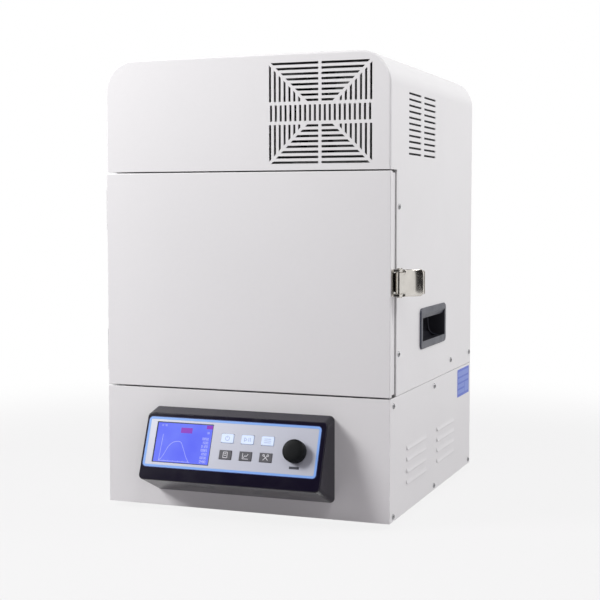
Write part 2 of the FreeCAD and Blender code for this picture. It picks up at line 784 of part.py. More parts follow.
def mains_switch_body():
    body_deep = dimension("switch_body_depth", 24)
    made = body("mains_switch_body")
    extrude(made, "bezel", "XZ", (rear, rear + bezel),
            [around(switch_x, inlet_z, switch_width, switch_height, 0, bezel)])
    extrude(made, "case", "XZ", (rear + bezel - body_deep, rear),
            [around(switch_x, inlet_z, case_half_width * 2, case_half_height * 2)])
    extrude(made, "well", "XZ", (rocker_pin_y - rocker_swing, rear + bezel),
            [around(switch_x, inlet_z, well_half_width * 2, well_half_height * 2)], cut=True)
    extrude(made, "pin_bores", "YZ", (switch_x - case_half_width, switch_x + case_half_width),
            circles=[(rocker_pin_y, inlet_z, rocker_pin + running_fit)], cut=True)


def mains_rocker():
    """Rocker drawn level about its own pin, then tipped to its off position."""
    made = body("mains_rocker")
    end = well_half_height - rocker_end_gap
    top = rocker_pin_depth + bezel + fit_clear
    low, high = top - rocker_crown / 2, top + rocker_crown / 2
    profile = [(-rocker_crown, -rocker_crown), (low, -end), (high, -end), (low, as_size(0)),
               (high, end), (low, end), (-rocker_crown, rocker_crown)]
    extrude(made, "paddle", "YZ", both_ways(well_half_width - fit_clear), [profile])
    extrude(made, "pin", "YZ", both_ways(case_half_width), circles=[(as_size(0), as_size(0), rocker_pin)])
    made.Placement.Rotation = FreeCAD.Rotation(Vector(1, 0, 0), 1)
    bind(made, "Placement.Base.x", switch_x)
    bind(made, "Placement.Base.y", rocker_pin_y)
    bind(made, "Placement.Base.z", inlet_z)
    bind(made, "Placement.Rotation.Angle", rocker_angle)


# Exhaust fan behind the grille.

fan_size = dimension("fan_size", 119)
fan_depth = dimension("fan_depth", 25)
fan_corner = dimension("fan_corner", 6)
fan_bore = dimension("fan_bore", 57.5)
fan_tip_gap = dimension("fan_tip_gap", 1)
fan_hub = dimension("fan_hub", 21)
fan_shaft = dimension("fan_shaft", 2)
blade_pitch = dimension("fan_blade_pitch", 34, "blade angle at the hub, from the fan's plane")
blade_twist = dimension("fan_blade_twist", 12)
blade_chord = dimension("fan_blade_chord", 24)
blade_thick = dimension("fan_blade_thick", 1.6)
FAN_BLADES = 7
fan_front = front + sheet_wall
fan_back = fan_front + fan_depth


def exhaust_fan_frame():
    strut = dimension("fan_strut", 5)
    made = body("exhaust_fan_frame")
    extrude(made, "frame_block", "XZ", (fan_front, fan_back),
            [around(grille_x, grille_z, fan_size, fan_size, 0, fan_corner)])
    extrude(made, "bore", "XZ", (fan_front, fan_back), circles=[(grille_x, grille_z, fan_bore)], cut=True)
    spider = (fan_back - sheet_wall * 2, fan_back)
    extrude(made, "motor_plate", "XZ", spider, circles=[(grille_x, grille_z, fan_hub)])
    span = (fan_bore + sheet_wall) * 2
    extrude(made, "level_struts", "XZ", spider, [around(grille_x, grille_z, span, strut)])
    extrude(made, "upright_struts", "XZ", spider, [around(grille_x, grille_z, strut, span)])
    extrude(made, "shaft_bore", "XZ", spider,
            circles=[(grille_x, grille_z, fan_shaft + running_fit)], cut=True)


def fan_impeller():
    """Cup-shaped hub with a stub shaft and seven twisted blades, turning on the Y axis."""
    made = body("fan_impeller")
    centre = (as_size(0), as_size(0))
    hub_front = fan_tip_gap * 2
    hub_back = fan_depth - sheet_wall * 2 - fan_tip_gap
    hub_radius = fan_hub - fan_tip_gap
    extrude(made, "hub", "XZ", (hub_front, hub_back), circles=[(*centre, hub_radius)])
    extrude(made, "shaft", "XZ", (hub_back, fan_depth), circles=[(*centre, fan_shaft)])
    middle = (hub_front + hub_back) / 2
    sweep = fan_bore - fan_tip_gap
    tip_reach = root(sweep * sweep - blade_chord * blade_chord / 4)
    root_reach = hub_radius - fan_tip_gap
    stations = []
    for place, reach, angle in (("root", root_reach, blade_pitch),
                                ("tip", tip_reach, blade_pitch - blade_twist)):
        drawn = sketch(made, f"blade_{place}", "YZ", reach)
        along_y, along_z = sine(angle) * blade_chord / 2, cosine(angle) * blade_chord / 2
        thick_y, thick_z = cosine(angle) * blade_thick / 2, sine(angle) * blade_thick / 2
        outline(drawn, [
            (middle - along_y - thick_y, -along_z + thick_z),
            (middle + along_y - thick_y, along_z + thick_z),
            (middle + along_y + thick_y, along_z - thick_z),
            (middle - along_y + thick_y, -along_z - thick_z),
        ])
        stations.append(drawn)
    blade = made.newObject("PartDesign::AdditiveLoft", "blade")
    blade.Profile = stations[0]
    blade.Sections = [stations[1]]
    ring = made.newObject("PartDesign::PolarPattern", "blade_ring")
    ring.Originals = [blade]
    ring.Axis = (origin_feature(made, "Y_Axis"), [""])
    ring.Angle = 360
    ring.Occurrences = FAN_BLADES
    made.Tip = ring
    bind(made, "Placement.Base.x", grille_x)
    bind(made, "Placement.Base.y", fan_front)
    bind(made, "Placement.Base.z", grille_z)


# Door: an outer pan, an inner pan, a fibre plug, a gasket and its hinges.

door_pan_depth = dimension("door_pan_depth", 8)
door_groove = dimension("door_groove", 1.5, "shadow line between the two door pans")
door_step = dimension("door_step", 2, "inner pan set in from the outer pan")
door_edge = dimension("door_edge", 1.2)
board_inset = dimension("board_inset", 25)
plug_root = dimension("plug_root", 4, "clearance of the plug in the chamber's mouth")
plug_taper = dimension("plug_taper", 4)
plug_depth = dimension("plug_depth", 36)
gasket_width = dimension("gasket_width", 12)
gasket_lap = dimension("gasket_lap", 10, "cavity's edge to the gasket")
inner_pan_front = front + door_pan_depth + door_groove


def door_outer_panel():
    made = body("door_outer_panel")
    back = front + door_pan_depth
    pad = extrude(made, "pan_pad", "XZ", (front, back),
                  [rectangle(both_ways(half_width), (door_bottom, door_top))])

    def on_front(edge, start, end):
        return all(abs(p.y - float(front)) < 1e-4 for p in (start, end))

    round_edges(made, "pan_edges", pad, on_front, door_edge)
    z = (door_bottom + sheet_wall, door_top - sheet_wall)
    extrude(made, "pan_hollow", "XZ", (front + sheet_wall, back - sheet_wall),
            [rectangle(both_ways(inside), z)], cut=True)
    mouth = rectangle(both_ways(inside - flange_width), (z[0] + flange_width, z[1] - flange_width))
    extrude(made, "pan_mouth", "XZ", (back - sheet_wall, back), [mouth], cut=True)


def door_inner_pan():
    made = body("door_inner_pan")
    outer = half_width - door_step
    low, high = door_bottom + door_step, door_top - door_step
    extrude(made, "pan_pad", "XZ", (inner_pan_front, door_back), [rectangle(both_ways(outer), (low, high))])
    hollow = rectangle(both_ways(outer - sheet_wall), (low + sheet_wall, high - sheet_wall))
    extrude(made, "pan_hollow", "XZ", (inner_pan_front, door_back - sheet_wall), [hollow], cut=True)


def door_insulation_board():
    x = both_ways(half_width - board_inset)
    y = (front + sheet_wall, door_back - sheet_wall)
    z = (door_bottom + board_inset, door_top - board_inset)
    node("door_insulation_board", box("door_insulation_board", x, y, z))


def door_plug():
    """Tapered fibre block that closes the chamber's mouth."""
    made = body("door_plug")
    sections = []
    for place, y, shrink in (("root", door_back, plug_root),
                             ("tip", door_back + plug_depth, plug_root + plug_taper)):
        drawn = sketch(made, f"plug_{place}", "XZ", y)
        z = (chamber_bottom + shrink, chamber_top - shrink)
        outline(drawn, rectangle(both_ways(chamber_half - shrink), z, chamber_radius))
        sections.append(drawn)
    loft = made.newObject("PartDesign::AdditiveLoft", "plug_taper_loft")
    loft.Profile = sections[0]
    loft.Sections = [sections[1]]


def door_gasket():
    made = body("door_gasket")
    inner = cavity_half + gasket_lap
    low, high = cavity_bottom - gasket_lap, cavity_top + gasket_lap
    span = (door_back, frame_front - fit_clear)
    outer = rectangle(both_ways(inner + gasket_width), (low - gasket_width, high + gasket_width),
                      gasket_width + chamber_radius)
    extrude(made, "gasket_pad", "XZ", span, [outer])
    extrude(made, "gasket_window", "XZ", span,
            [rectangle(both_ways(inner), (low, high), chamber_radius)], cut=True)


hinge_axis_out = dimension("hinge_axis_out", 4.5, "cabinet side to the hinge axis")
hinge_knuckle = dimension("hinge_knuckle", 4)
hinge_pin = dimension("hinge_pin", 2)
hinge_height = dimension("hinge_height", 60)
hinge_leaf = dimension("hinge_leaf", 2)
hinge_reach = dimension("hinge_reach", 25)
hinge_lower = dimension("hinge_lower", 232)
hinge_upper = dimension("hinge_upper", 437)
hinge_gap = dimension("hinge_gap", 0.4)
hinge_x = -half_width - hinge_axis_out
hinge_y = (door_back + frame_front) / 2
HINGES = (("lower", hinge_lower), ("upper", hinge_upper))


def hinge_leaf_part(name, middle, side, knuckles):
    """One leaf with its knuckles: side -1 reaches forward over the door, +1 back over the cabinet."""
    low = middle - hinge_height / 2
    third = hinge_height / 3
    near = hinge_y + side * (hinge_knuckle + hinge_gap)
    far = hinge_y + side * hinge_reach
    plate_y = (near, far) if side > 0 else (far, near)
    tab_y = (hinge_y, near) if side > 0 else (near, hinge_y)
    x = (-half_width - hinge_leaf, -half_width)
    centre = (hinge_x, hinge_y)
    solids = [box(f"{name}_plate", x, plate_y, (low, low + hinge_height))]
    for number in knuckles:
        lower_gap = hinge_gap / 2 if number > 0 else 0
        upper_gap = hinge_gap / 2 if number < 2 else 0
        z = (low + third * number + lower_gap, low + third * (number + 1) - upper_gap)
        solids.append(cylinder(f"{name}_knuckle_{number}", "z", centre, z, hinge_knuckle))
        solids.append(box(f"{name}_tab_{number}", x, tab_y, z))
    bore = cylinder(f"{name}_bore", "z", centre, (low - 1, low + hinge_height + 1), hinge_pin + running_fit)
    return cut(name, join(f"{name}_solid", solids), bore)


def hinges():
    door_leaves, cabinet_leaves, pins = [], [], []
    for place, middle in HINGES:
        door_leaves.append(hinge_leaf_part(f"door_leaf_{place}", middle, -1, (1,)))
        cabinet_leaves.append(hinge_leaf_part(f"cabinet_leaf_{place}", middle, 1, (0, 2)))
        low = middle - hinge_height / 2 - hinge_leaf
        high = middle + hinge_height / 2 + hinge_leaf
        centre = (hinge_x, hinge_y)
        pins.append(join(f"hinge_pin_{place}", [
            cylinder(f"hinge_pin_{place}_shank", "z", centre, (low, high), hinge_pin),
            cylinder(f"hinge_pin_{place}_cap", "z", centre, (high - hinge_leaf, high), hinge_knuckle),
            cylinder(f"hinge_pin_{place}_foot", "z", centre, (low, low + hinge_leaf), hinge_knuckle),
        ]))
    node("hinge_leaves_door", group("hinge_leaves_door", door_leaves))
    node("hinge_leaves_cabinet", group("hinge_leaves_cabinet", cabinet_leaves))
    node("hinge_pins", group("hinge_pins", pins))


# Latch on the door's free edge: a base with two ears, a pin, a curved paddle and a magnet on its strike.

latch_bottom = dimension("latch_bottom", 318.5)
latch_height = dimension("latch_height", 37)
latch_plate = dimension("latch_plate", 2)
latch_ear = dimension("latch_ear", 3.5)
latch_pin_out = dimension("latch_pin_out", 9, "cabinet side to the paddle's pin")
latch_pin_back = dimension("latch_pin_back", 13, "door's front face to the paddle's pin")
latch_pin_size = dimension("latch_pin_size", 2.5)
latch_ear_radius = dimension("latch_ear_radius", 7)
paddle_wall = dimension("paddle_wall", 4)
paddle_bead = dimension("paddle_bead", 3)
paddle_sweep = dimension("paddle_sweep", 62)
paddle_corner = dimension("paddle_corner", 7)
paddle_centre_back = dimension("paddle_centre_back", 44, "front face to the paddle's centre of curve")
latch_hub = dimension("latch_hub", 5.7)
strike_reach = dimension("strike_reach", 11)
strike_foot = dimension("strike_foot", 22)
strike_half = dimension("strike_half", 13)
magnet_length = dimension("magnet_length", 6.4)
latch_top = latch_bottom + latch_height
latch_middle = latch_bottom + latch_height / 2
latch_x = half_width + latch_pin_out
latch_y = front + latch_pin_back
paddle_y = front + paddle_centre_back
magnet_back = door_back - fit_clear * 3


def latch_base():
    made = body("latch_base")
    extrude(made, "plate", "YZ", (half_width, half_width + latch_plate),
            [rectangle((front + latch_plate * 1.5, magnet_back), (latch_bottom, latch_top), latch_plate)])
    ears = ((latch_bottom, latch_bottom + latch_ear), (latch_top - latch_ear, latch_top))
    for number, heights in enumerate(ears):
        y = (latch_y - latch_ear_radius, latch_y + latch_ear_radius)
        extrude(made, f"ear_{number}", "XY", heights, [rectangle((half_width, latch_x), y)])
        extrude(made, f"ear_end_{number}", "XY", heights, circles=[(latch_x, latch_y, latch_ear_radius)])
    extrude(made, "pin_bore", "XY", (latch_bottom, latch_top),
            circles=[(latch_x, latch_y, latch_pin_size + running_fit)], cut=True)


def latch_pin():
    head = dimension("latch_pin_head", 1.5)
    centre = (latch_x, latch_y)
    solids = [
        cylinder("latch_pin_shank", "z", centre, (latch_bottom - head, latch_top + head), latch_pin_size),
        cylinder("latch_pin_top", "z", centre, (latch_top, latch_top + head), latch_pin_size + head),
        cylinder("latch_pin_foot", "z", centre, (latch_bottom - head, latch_bottom), latch_pin_size + head),
    ]
    node("latch_pin", join("latch_pin", solids))


def latch_lever():
    """Paddle bent to an arc, on a hub that turns between the ears. Its own X axis runs through the pin."""
    made = body("latch_lever")
    step_back = paddle_centre_back - latch_pin_back
    pin_x = root(latch_pin_out * latch_pin_out + step_back * step_back)
    outer = pin_x + latch_hub
    blank = sketch(made, "paddle_section", "XZ", 0)
    outline(blank, rectangle((outer - paddle_wall, outer), (latch_bottom, latch_top)))
    paddle = made.newObject("PartDesign::Revolution", "paddle")
    paddle.Profile = blank
    paddle.ReferenceAxis = (origin_feature(made, "Z_Axis"), [""])
    bind(paddle, "Angle", paddle_sweep)

    def on_free_corner(edge, start, end):
        level = abs(start.z - end.z) < 1e-4
        return level and edge.Curve.TypeId == "Part::GeomLine" and min(start.y, end.y) > float(paddle_wall)

    round_edges(made, "paddle_corners", paddle, on_free_corner, paddle_corner)
    middle = outer - paddle_wall / 2
    bead = (middle * cosine(paddle_sweep), middle * sine(paddle_sweep), paddle_bead)
    extrude(made, "bead", "XY", (latch_bottom + paddle_corner, latch_top - paddle_corner), circles=[bead])
    pin = (pin_x, as_size(0))
    clear = latch_ear_radius + fit_clear * 3
    low = latch_bottom + latch_ear + fit_clear
    high = latch_top - latch_ear - fit_clear
    for number, heights in enumerate(((latch_bottom, low), (high, latch_top))):
        extrude(made, f"ear_clearance_{number}", "XY", heights, circles=[(*pin, clear)], cut=True)
    extrude(made, "hub", "XY", (low, high), circles=[(*pin, latch_hub)])
    extrude(made, "pin_bore", "XY", (latch_bottom, latch_top),
            circles=[(*pin, latch_pin_size + running_fit)], cut=True)
    made.Placement.Rotation = FreeCAD.Rotation(Vector(0, 0, 1), 1)
    bind(made, "Placement.Base.x", half_width)
    bind(made, "Placement.Base.y", paddle_y)
    bind(made, "Placement.Rotation.Angle", -angle_of(step_back, latch_pin_out))


def latch_magnet():
    x = (half_width + latch_plate, half_width + strike_reach)
    y = (magnet_back - magnet_length, magnet_back)
    z = (latch_middle - strike_half, latch_middle + strike_half)
    node("latch_magnet", box("latch_magnet", x, y, z))


def strike_plate():
    """Angle bracket on the cabinet wall whose short leg the magnet pulls on."""
    made = body("strike_plate")
    face = magnet_back + fit_clear
    leg = face + latch_plate
    tip = half_width + strike_reach
    foot = half_width + latch_plate
    profile = [(half_width, face), (tip, face), (tip, leg), (foot, leg),
               (foot, leg + strike_foot), (half_width, leg + strike_foot)]
    extrude(made, "bracket", "XY", (latch_middle - strike_half, latch_middle + strike_half), [profile])


# Recessed carrying handles: a framed cup whose upper lip the fingers hook behind.

def carry_handle(side_name, side):
    made = body(f"carry_handle_{side_name}")
    y = (front + grip_front, front + grip_front + grip_length)
    z = (grip_bottom, grip_bottom + grip_height)
    outer = half_width + grip_flange
    pad = extrude(made, "frame", "YZ", mirrored(side, half_width, outer), [rectangle(y, z, grip_corner)])

    def on_face(edge, start, end):
        return all(abs(abs(p.x) - float(outer)) < 1e-4 for p in (start, end))

    round_edges(made, "frame_bevel", pad, on_face, grip_flange / 2, "Chamfer")
    inset = grip_rim + grip_clear
    y_cup = (y[0] + inset, y[1] - inset)
    z_cup = (z[0] + inset, z[1] - inset)
    extrude(made, "cup", "YZ", mirrored(side, half_width - grip_depth, half_width), [rectangle(y_cup, z_cup)])
    floor_x = half_width - grip_depth + grip_wall
    lip_x = half_width - grip_lip_depth
    low, high = z_cup[0] + grip_wall, z_cup[1] - grip_wall
    lip = high - grip_lip
    section = [
        (side * outer, high), (side * lip_x, lip), (side * (lip_x - grip_wall), lip),
        (side * (lip_x - grip_wall), high), (side * floor_x, high),
        (side * floor_x, low + grip_corner), (side * (floor_x + grip_corner), low),
        (side * outer, low),
    ]
    extrude(made, "scoop", "XZ", (y_cup[0] + grip_wall, y_cup[1] - grip_wall), [section], cut=True)


# Control pod on the base's front: a tapered moulding with its face tipped back.

pod_x = dimension("pod_x", -1, "cabinet's middle to the pod's middle")
pod_width = dimension("pod_width", 274)
pod_height = dimension("pod_height", 121.4)
pod_bottom = dimension("pod_bottom", 31.3)
pod_inset = dimension("pod_inset", 1.2, "sides drawn in towards the face")
pod_wall = dimension("pod_wall", 3)
pod_corner = dimension("pod_corner", 7)
pod_soft = dimension("pod_soft_edge", 2)
face_height = dimension("face_height", 96)
face_tilt = dimension("face_tilt", 21.5)
face_reach = dimension("face_reach", 42.8, "base's front to the face's middle")
face_z = dimension("face_z", 102.4)
plate_x = dimension("plate_x", -1.9, "face's middle to the name plate's middle")
plate_z = dimension("plate_z", 6.4)
plate_width = dimension("plate_width", 262)
plate_height = dimension("plate_height", 73.2)
plate_corner = dimension("plate_corner", 6)
plate_thick = dimension("plate_thick", 1)
lcd_x = dimension("lcd_x", -75.1)
lcd_z = dimension("lcd_z", 6.6)
lcd_width = dimension("lcd_width", 87.5)
lcd_height = dimension("lcd_height", 58.3)
key_x = dimension("key_x", -7.6, "face's middle to the first column of keys")
key_pitch = dimension("key_pitch", 30.1)
key_z = dimension("key_z", 17.5, "upper row of keys")
key_drop = dimension("key_drop", 23.3)
key_width = dimension("key_width", 18.4)
key_height = dimension("key_height", 12.6)
key_corner = dimension("key_corner", 1.5)
key_proud = dimension("key_proud", 1)
key_travel = dimension("key_travel", 0.8)
knob_x = dimension("knob_x", 95.6)
knob_z = dimension("knob_z", 4.8)
knob_radius = dimension("knob_radius", 16)
knob_height = dimension("knob_height", 14)
knob_dome = dimension("knob_dome", 4)
shaft_radius = dimension("shaft_radius", 3)
bush_radius = dimension("bush_radius", 4.5)
window_thick = dimension("window_thick", 1.5)
module_depth = dimension("module_depth", 9)
key_soft = dimension("key_soft", 0.4)
knob_taper = dimension("knob_taper", 0.8)
knob_soft = dimension("knob_soft", 3)
encoder_depth = dimension("encoder_depth", 8)
board_thick = dimension("board_thick", 1.6)
face_y = front - face_reach
board_front = plate_thick + pod_wall
board_back = board_front + board_thick
KEY_COLUMNS = 3
KEY_ROWS = 2


def face_sketch(owner, name, depth):
    """A sketch parallel to the tipped face, the given depth behind it, centred on the face's middle."""
    made = sketch(owner, name, "XZ", 0)
    made.AttachmentOffset = FreeCAD.Placement(Vector(), FreeCAD.Rotation(Vector(1, 0, 0), 1))
    depth = as_size(depth)
    bind(made, "AttachmentOffset.Base.x", pod_x)
    bind(made, "AttachmentOffset.Base.y", face_z - depth * sine(face_tilt))
    bind(made, "AttachmentOffset.Base.z", -face_y - depth * cosine(face_tilt))
    bind(made, "AttachmentOffset.Rotation.Angle", -face_tilt)
    return made


def on_face(thing):
    """Place a part modelled about the face's middle, +Y into the pod."""
    thing.Placement.Rotation = FreeCAD.Rotation(Vector(1, 0, 0), 1)
    bind(thing, "Placement.Base.x", pod_x)
    bind(thing, "Placement.Base.y", face_y)
    bind(thing, "Placement.Base.z", face_z)
    bind(thing, "Placement.Rotation.Angle", -face_tilt)
    return thing


def key_centres():
    for row in range(KEY_ROWS):
        for column in range(KEY_COLUMNS):
            yield key_x + key_pitch * column, key_z - key_drop * row


def face_holes():
    """Openings through the plate and the housing: the display, the keys and the knob's bush."""
    holes = [around(lcd_x, lcd_z, lcd_width, lcd_height)]
    holes += [around(x, z, key_width, key_height, fit_clear) for x, z in key_centres()]
    return holes, [(knob_x, knob_z, bush_radius + fit_clear)]


def pod_housing():
    made = body("pod_housing")
    middle = pod_bottom + pod_height / 2
    centre = (as_size(0), as_size(0))
    face_width = pod_width - pod_inset * 2
    back_sketch = sketch(made, "back_outline", "XZ", front)
    outline(back_sketch, around(pod_x, middle, pod_width, pod_height, 0, pod_corner))
    face = face_sketch(made, "face_outline", 0)
    outline(face, around(*centre, face_width, face_height, 0, pod_corner))
    shell = made.newObject("PartDesign::AdditiveLoft", "outer_form")
    shell.Profile = back_sketch
    shell.Sections = [face]

    def on_rim(edge, start, end):
        lean = math.radians(float(face_tilt))
        ahead = [p.y - float(face_y) for p in (start, end)]
        above = [p.z - float(face_z) for p in (start, end)]
        offs = [y * math.cos(lean) - z * math.sin(lean) for y, z in zip(ahead, above)]
        return max(abs(off) for off in offs) < 1e-3

    round_edges(made, "soft_rim", shell, on_rim, pod_soft)
    hollow_corner = pod_corner - pod_wall
    hollow_back = sketch(made, "hollow_back", "XZ", front)
    outline(hollow_back, around(pod_x, middle, pod_width, pod_height, -pod_wall, hollow_corner))
    hollow_face = face_sketch(made, "hollow_face", board_front)
    outline(hollow_face, around(*centre, face_width, face_height, -pod_wall * 1.5, hollow_corner))
    hollow = made.newObject("PartDesign::SubtractiveLoft", "hollow")
    hollow.Profile = hollow_back
    hollow.Sections = [hollow_face]
    plate = around(plate_x, plate_z, plate_width, plate_height, 0, plate_corner)
    for name, depth, length, (holes, rounds) in (("plate_recess", 0, plate_thick, ([plate], [])),
                                                 ("openings", plate_thick, pod_wall * 2, face_holes())):
        drawn = face_sketch(made, f"{name}_sketch", depth)
        for corners in holes:
            outline(drawn, corners)
        for x, z, radius in rounds:
            circle(drawn, x, z, radius)
        pocket = made.newObject("PartDesign::Pocket", name)
        pocket.Profile = drawn
        bind(pocket, "Length", length)


def pod_faceplate():
    made = on_face(body("pod_faceplate"))
    span = (as_size(0), plate_thick)
    extrude(made, "plate", "XZ", span,
            [around(plate_x, plate_z, plate_width, plate_height, 0, plate_corner)])
    extrude(made, "holes", "XZ", span, *face_holes(), cut=True)


def lcd_window():
    made = on_face(body("lcd_window"))
    extrude(made, "glass", "XZ", (fit_clear, plate_thick + window_thick),
            [around(lcd_x, lcd_z, lcd_width, lcd_height, -fit_clear / 3)])


def lcd_module():
    made = on_face(body("lcd_module"))
    extrude(made, "screen", "XZ", (plate_thick + window_thick, board_front),
            [around(lcd_x, lcd_z, lcd_width, lcd_height, -fit_clear)])
    extrude(made, "case", "XZ", (board_front, board_front + module_depth),
            [around(lcd_x, lcd_z, lcd_width, lcd_height, bush_radius)])


def key_board():
    margin = dimension("key_board_margin", 11.5)
    made = on_face(body("key_board"))
    x = (key_x - margin, knob_x + margin)
    z = (key_z - key_drop - key_height, key_z + key_height)
    extrude(made, "board", "XZ", (board_front, board_back), [rectangle(x, z)])
    extrude(made, "bush_hole", "XZ", (board_front, board_back),
            circles=[(knob_x, knob_z, bush_radius + fit_clear)], cut=True)


def keys():
    for number, (x, z) in enumerate(key_centres(), 1):
        made = on_face(body(f"key_{number}"))
        pad = extrude(made, "cap", "XZ", (-key_proud, board_front - key_travel - fit_clear),
                      [around(x, z, key_width, key_height, 0, key_corner)])

        def on_top(edge, start, end):
            return all(abs(p.y + float(key_proud)) < 1e-4 for p in (start, end))

        round_edges(made, "cap_edge", pad, on_top, key_soft, "Chamfer")


def encoder_body():
    made = on_face(body("encoder_body"))
    extrude(made, "case", "XZ", (board_back, board_back + encoder_depth),
            [around(knob_x, knob_z, bush_radius * 3, bush_radius * 3)])
    extrude(made, "bush", "XZ", (as_size(0), board_back), circles=[(knob_x, knob_z, bush_radius)])
    extrude(made, "bore", "XZ", (as_size(0), board_back + encoder_depth / 2),
            circles=[(knob_x, knob_z, shaft_radius + running_fit)], cut=True)


def encoder_shaft():
    made = on_face(body("encoder_shaft"))
    span = (knob_dome - knob_height, board_back + encoder_depth / 2 - fit_clear)
    extrude(made, "shaft", "XZ", span, circles=[(knob_x, knob_z, shaft_radius)])


def selector_knob():
    """Domed, lightly tapered knob, turned about its own shaft."""
    made = on_face(body("selector_knob"))
    section = sketch(made, "knob_section", "XY", knob_z)
    bind(section, "AttachmentOffset.Base.x", knob_x)
    shoulder = (knob_radius - knob_taper, -(knob_height - knob_dome / 2), knob_soft)
    outline(section, [
        (as_size(0), -fit_clear), (knob_radius, -fit_clear, knob_taper), shoulder, (as_size(0), -knob_height),
    ])
    turned = made.newObject("PartDesign::Revolution", "turned_form")
    turned.Profile = section
    turned.ReferenceAxis = (section, ["V_Axis"])
    extrude(made, "shaft_socket", "XZ", (-(knob_height - knob_dome), -fit_clear),
            circles=[(knob_x, knob_z, shaft_radius + running_fit)], cut=True)


def cabinet_screws():
    """Domed screw heads along the edges of the side walls; the hinges take their place on the left."""
    head = dimension("screw_head", 4)
    crown = dimension("screw_crown", 2.5, "flat on top of a head")
    rise = dimension("screw_rise", 2)
    edge = dimension("screw_edge", 11, "base's upper edge to its screws")
    foot_edge = dimension("screw_foot_edge", 7, "base's lower edge to its screws")
    near = dimension("screw_near", 17, "front face to the base's front screws")
    wall_near = dimension("screw_wall_near", 40, "front face to the screws beside the door")
    wall_far = dimension("screw_wall_far", 334, "front face to the wall's middle screw")
    wall_low = dimension("screw_wall_low", 18.5, "base's deck to the wall's lower screws")
    wall_high = dimension("screw_wall_high", 48, "door's top to the upper screw beside it")
    wall_mid = dimension("screw_wall_mid", 56, "door's bottom to the lower screw beside it")
    middle = as_size(0)
    both = [
        (front + wall_far, base_top + wall_low), (rear - edge, base_top + wall_low),
        (front + near, base_top - edge), (middle, base_top - edge),
        (front + near, base_bottom + foot_edge), (middle, base_bottom + foot_edge),
        (rear - edge, base_bottom + foot_edge),
    ]
    beside_door = [(front + wall_near, door_top - wall_high), (front + wall_near, door_bottom + wall_mid)]
    made = []
    for side_name, side, places in (("right", 1, both + beside_door), ("left", -1, both)):
        for number, (y, z) in enumerate(places):
            screw = doc.addObject("Part::Cone", f"screw_{side_name}_{number}")
            screw.Placement.Rotation = FreeCAD.Rotation(Vector(0, 1, 0), 90 * side)
            bind(screw, "Radius1", head)
            bind(screw, "Radius2", crown)
            bind(screw, "Height", rise)
            bind(screw, "Placement.Base.x", half_width * side)
            bind(screw, "Placement.Base.y", y)
            bind(screw, "Placement.Base.z", z)
            made.append(screw)
    node("cabinet_screws", group("cabinet_screws", made))


# Power electronics in the base.

def transformers():
    core_x = dimension("core_width", 104)
    core_y = dimension("core_depth", 62)
    core_z = dimension("core_height", 86)
    coil = dimension("coil_overhang", 16)
    side_gap = dimension("core_side_gap", 40, "cabinet wall to the cores")
    rear_gap = dimension("core_rear_gap", 32, "rear panel to the rear core")
    pitch = dimension("core_pitch", 118)
    made = []
    x = (side_gap - inside, side_gap - inside + core_x)
    for number in range(MAGNETRONS):
        far = rear_inside - rear_gap - pitch * number
        core = box(f"core_{number}", x, (far - core_y, far), (tray_top, tray_top + core_z))
        winding = box(f"winding_{number}", (x[0] + coil, x[1] - coil), (far - core_y - coil, far + coil),
                      (tray_top + coil, tray_top + core_z - coil))
        made.append(join(f"transformer_{number}", [core, winding]))
    node("transformers", group("transformers", made))


def capacitors():
    radius = dimension("capacitor_radius", 24)
    tall = dimension("capacitor_height", 92)
    pitch = dimension("capacitor_pitch", 72)
    made = []
    for number in range(MAGNETRONS):
        centre = (as_size(0), -pitch * number)
        made.append(cylinder(f"capacitor_{number}", "z", centre, (tray_top, tray_top + tall), radius))
    node("capacitors", group("capacitors", made))


def control_board():
    """Circuit board on four posts, with a relay, a heat sink and a terminal strip."""
    board_x = dimension("control_board_width", 130)
    board_y = dimension("control_board_depth", 190)
    front_gap = dimension("control_board_front", 50, "front face to the board")
    side_gap = dimension("control_board_side", 27, "cabinet wall to the board")
    spacer = dimension("board_spacer", 10)
    post = dimension("board_post", 3)
    top = tray_top + spacer + board_thick
    x = (inside - side_gap - board_x, inside - side_gap)
    y = (front + front_gap, front + front_gap + board_y)
    made = [box("board", x, y, (tray_top + spacer, top))]
    for number in range(4):
        post_x = x[0] + spacer / 2 if number % 2 else x[1] - spacer / 2
        post_y = y[0] + spacer / 2 if number // 2 else y[1] - spacer / 2
        made.append(cylinder(f"post_{number}", "z", (post_x, post_y), (tray_top, tray_top + spacer), post))
    components = (("relay", (20, 19), (39, 27, 26)), ("heat_sink", (72, 19), (45, 57, 42)),
                  ("terminals", (20, 133), (91, 19, 16)))
    for name, place, size in components:
        low = [start + dimension(f"{name}_{axis}", value)
               for start, axis, value in zip((x[0], y[0]), "xy", place)]
        wide, deep, tall = [dimension(f"{name}_{word}", value)
                            for word, value in zip(("width", "depth", "height"), size)]
        made.append(box(name, (low[0], low[0] + wide), (low[1], low[1] + deep), (top, top + tall)))
    node("control_board", join("control_board", made))


def door_sensor():
    inset = dimension("door_sensor_inset", 20)
    width = dimension("door_sensor_width", 18)
    x = (inside - inset - width, inside - inset)
    z = (chamber_middle - width, chamber_middle + width)
    node("door_sensor", box("door_sensor", x, (frame_back, frame_back + width / 2), z))


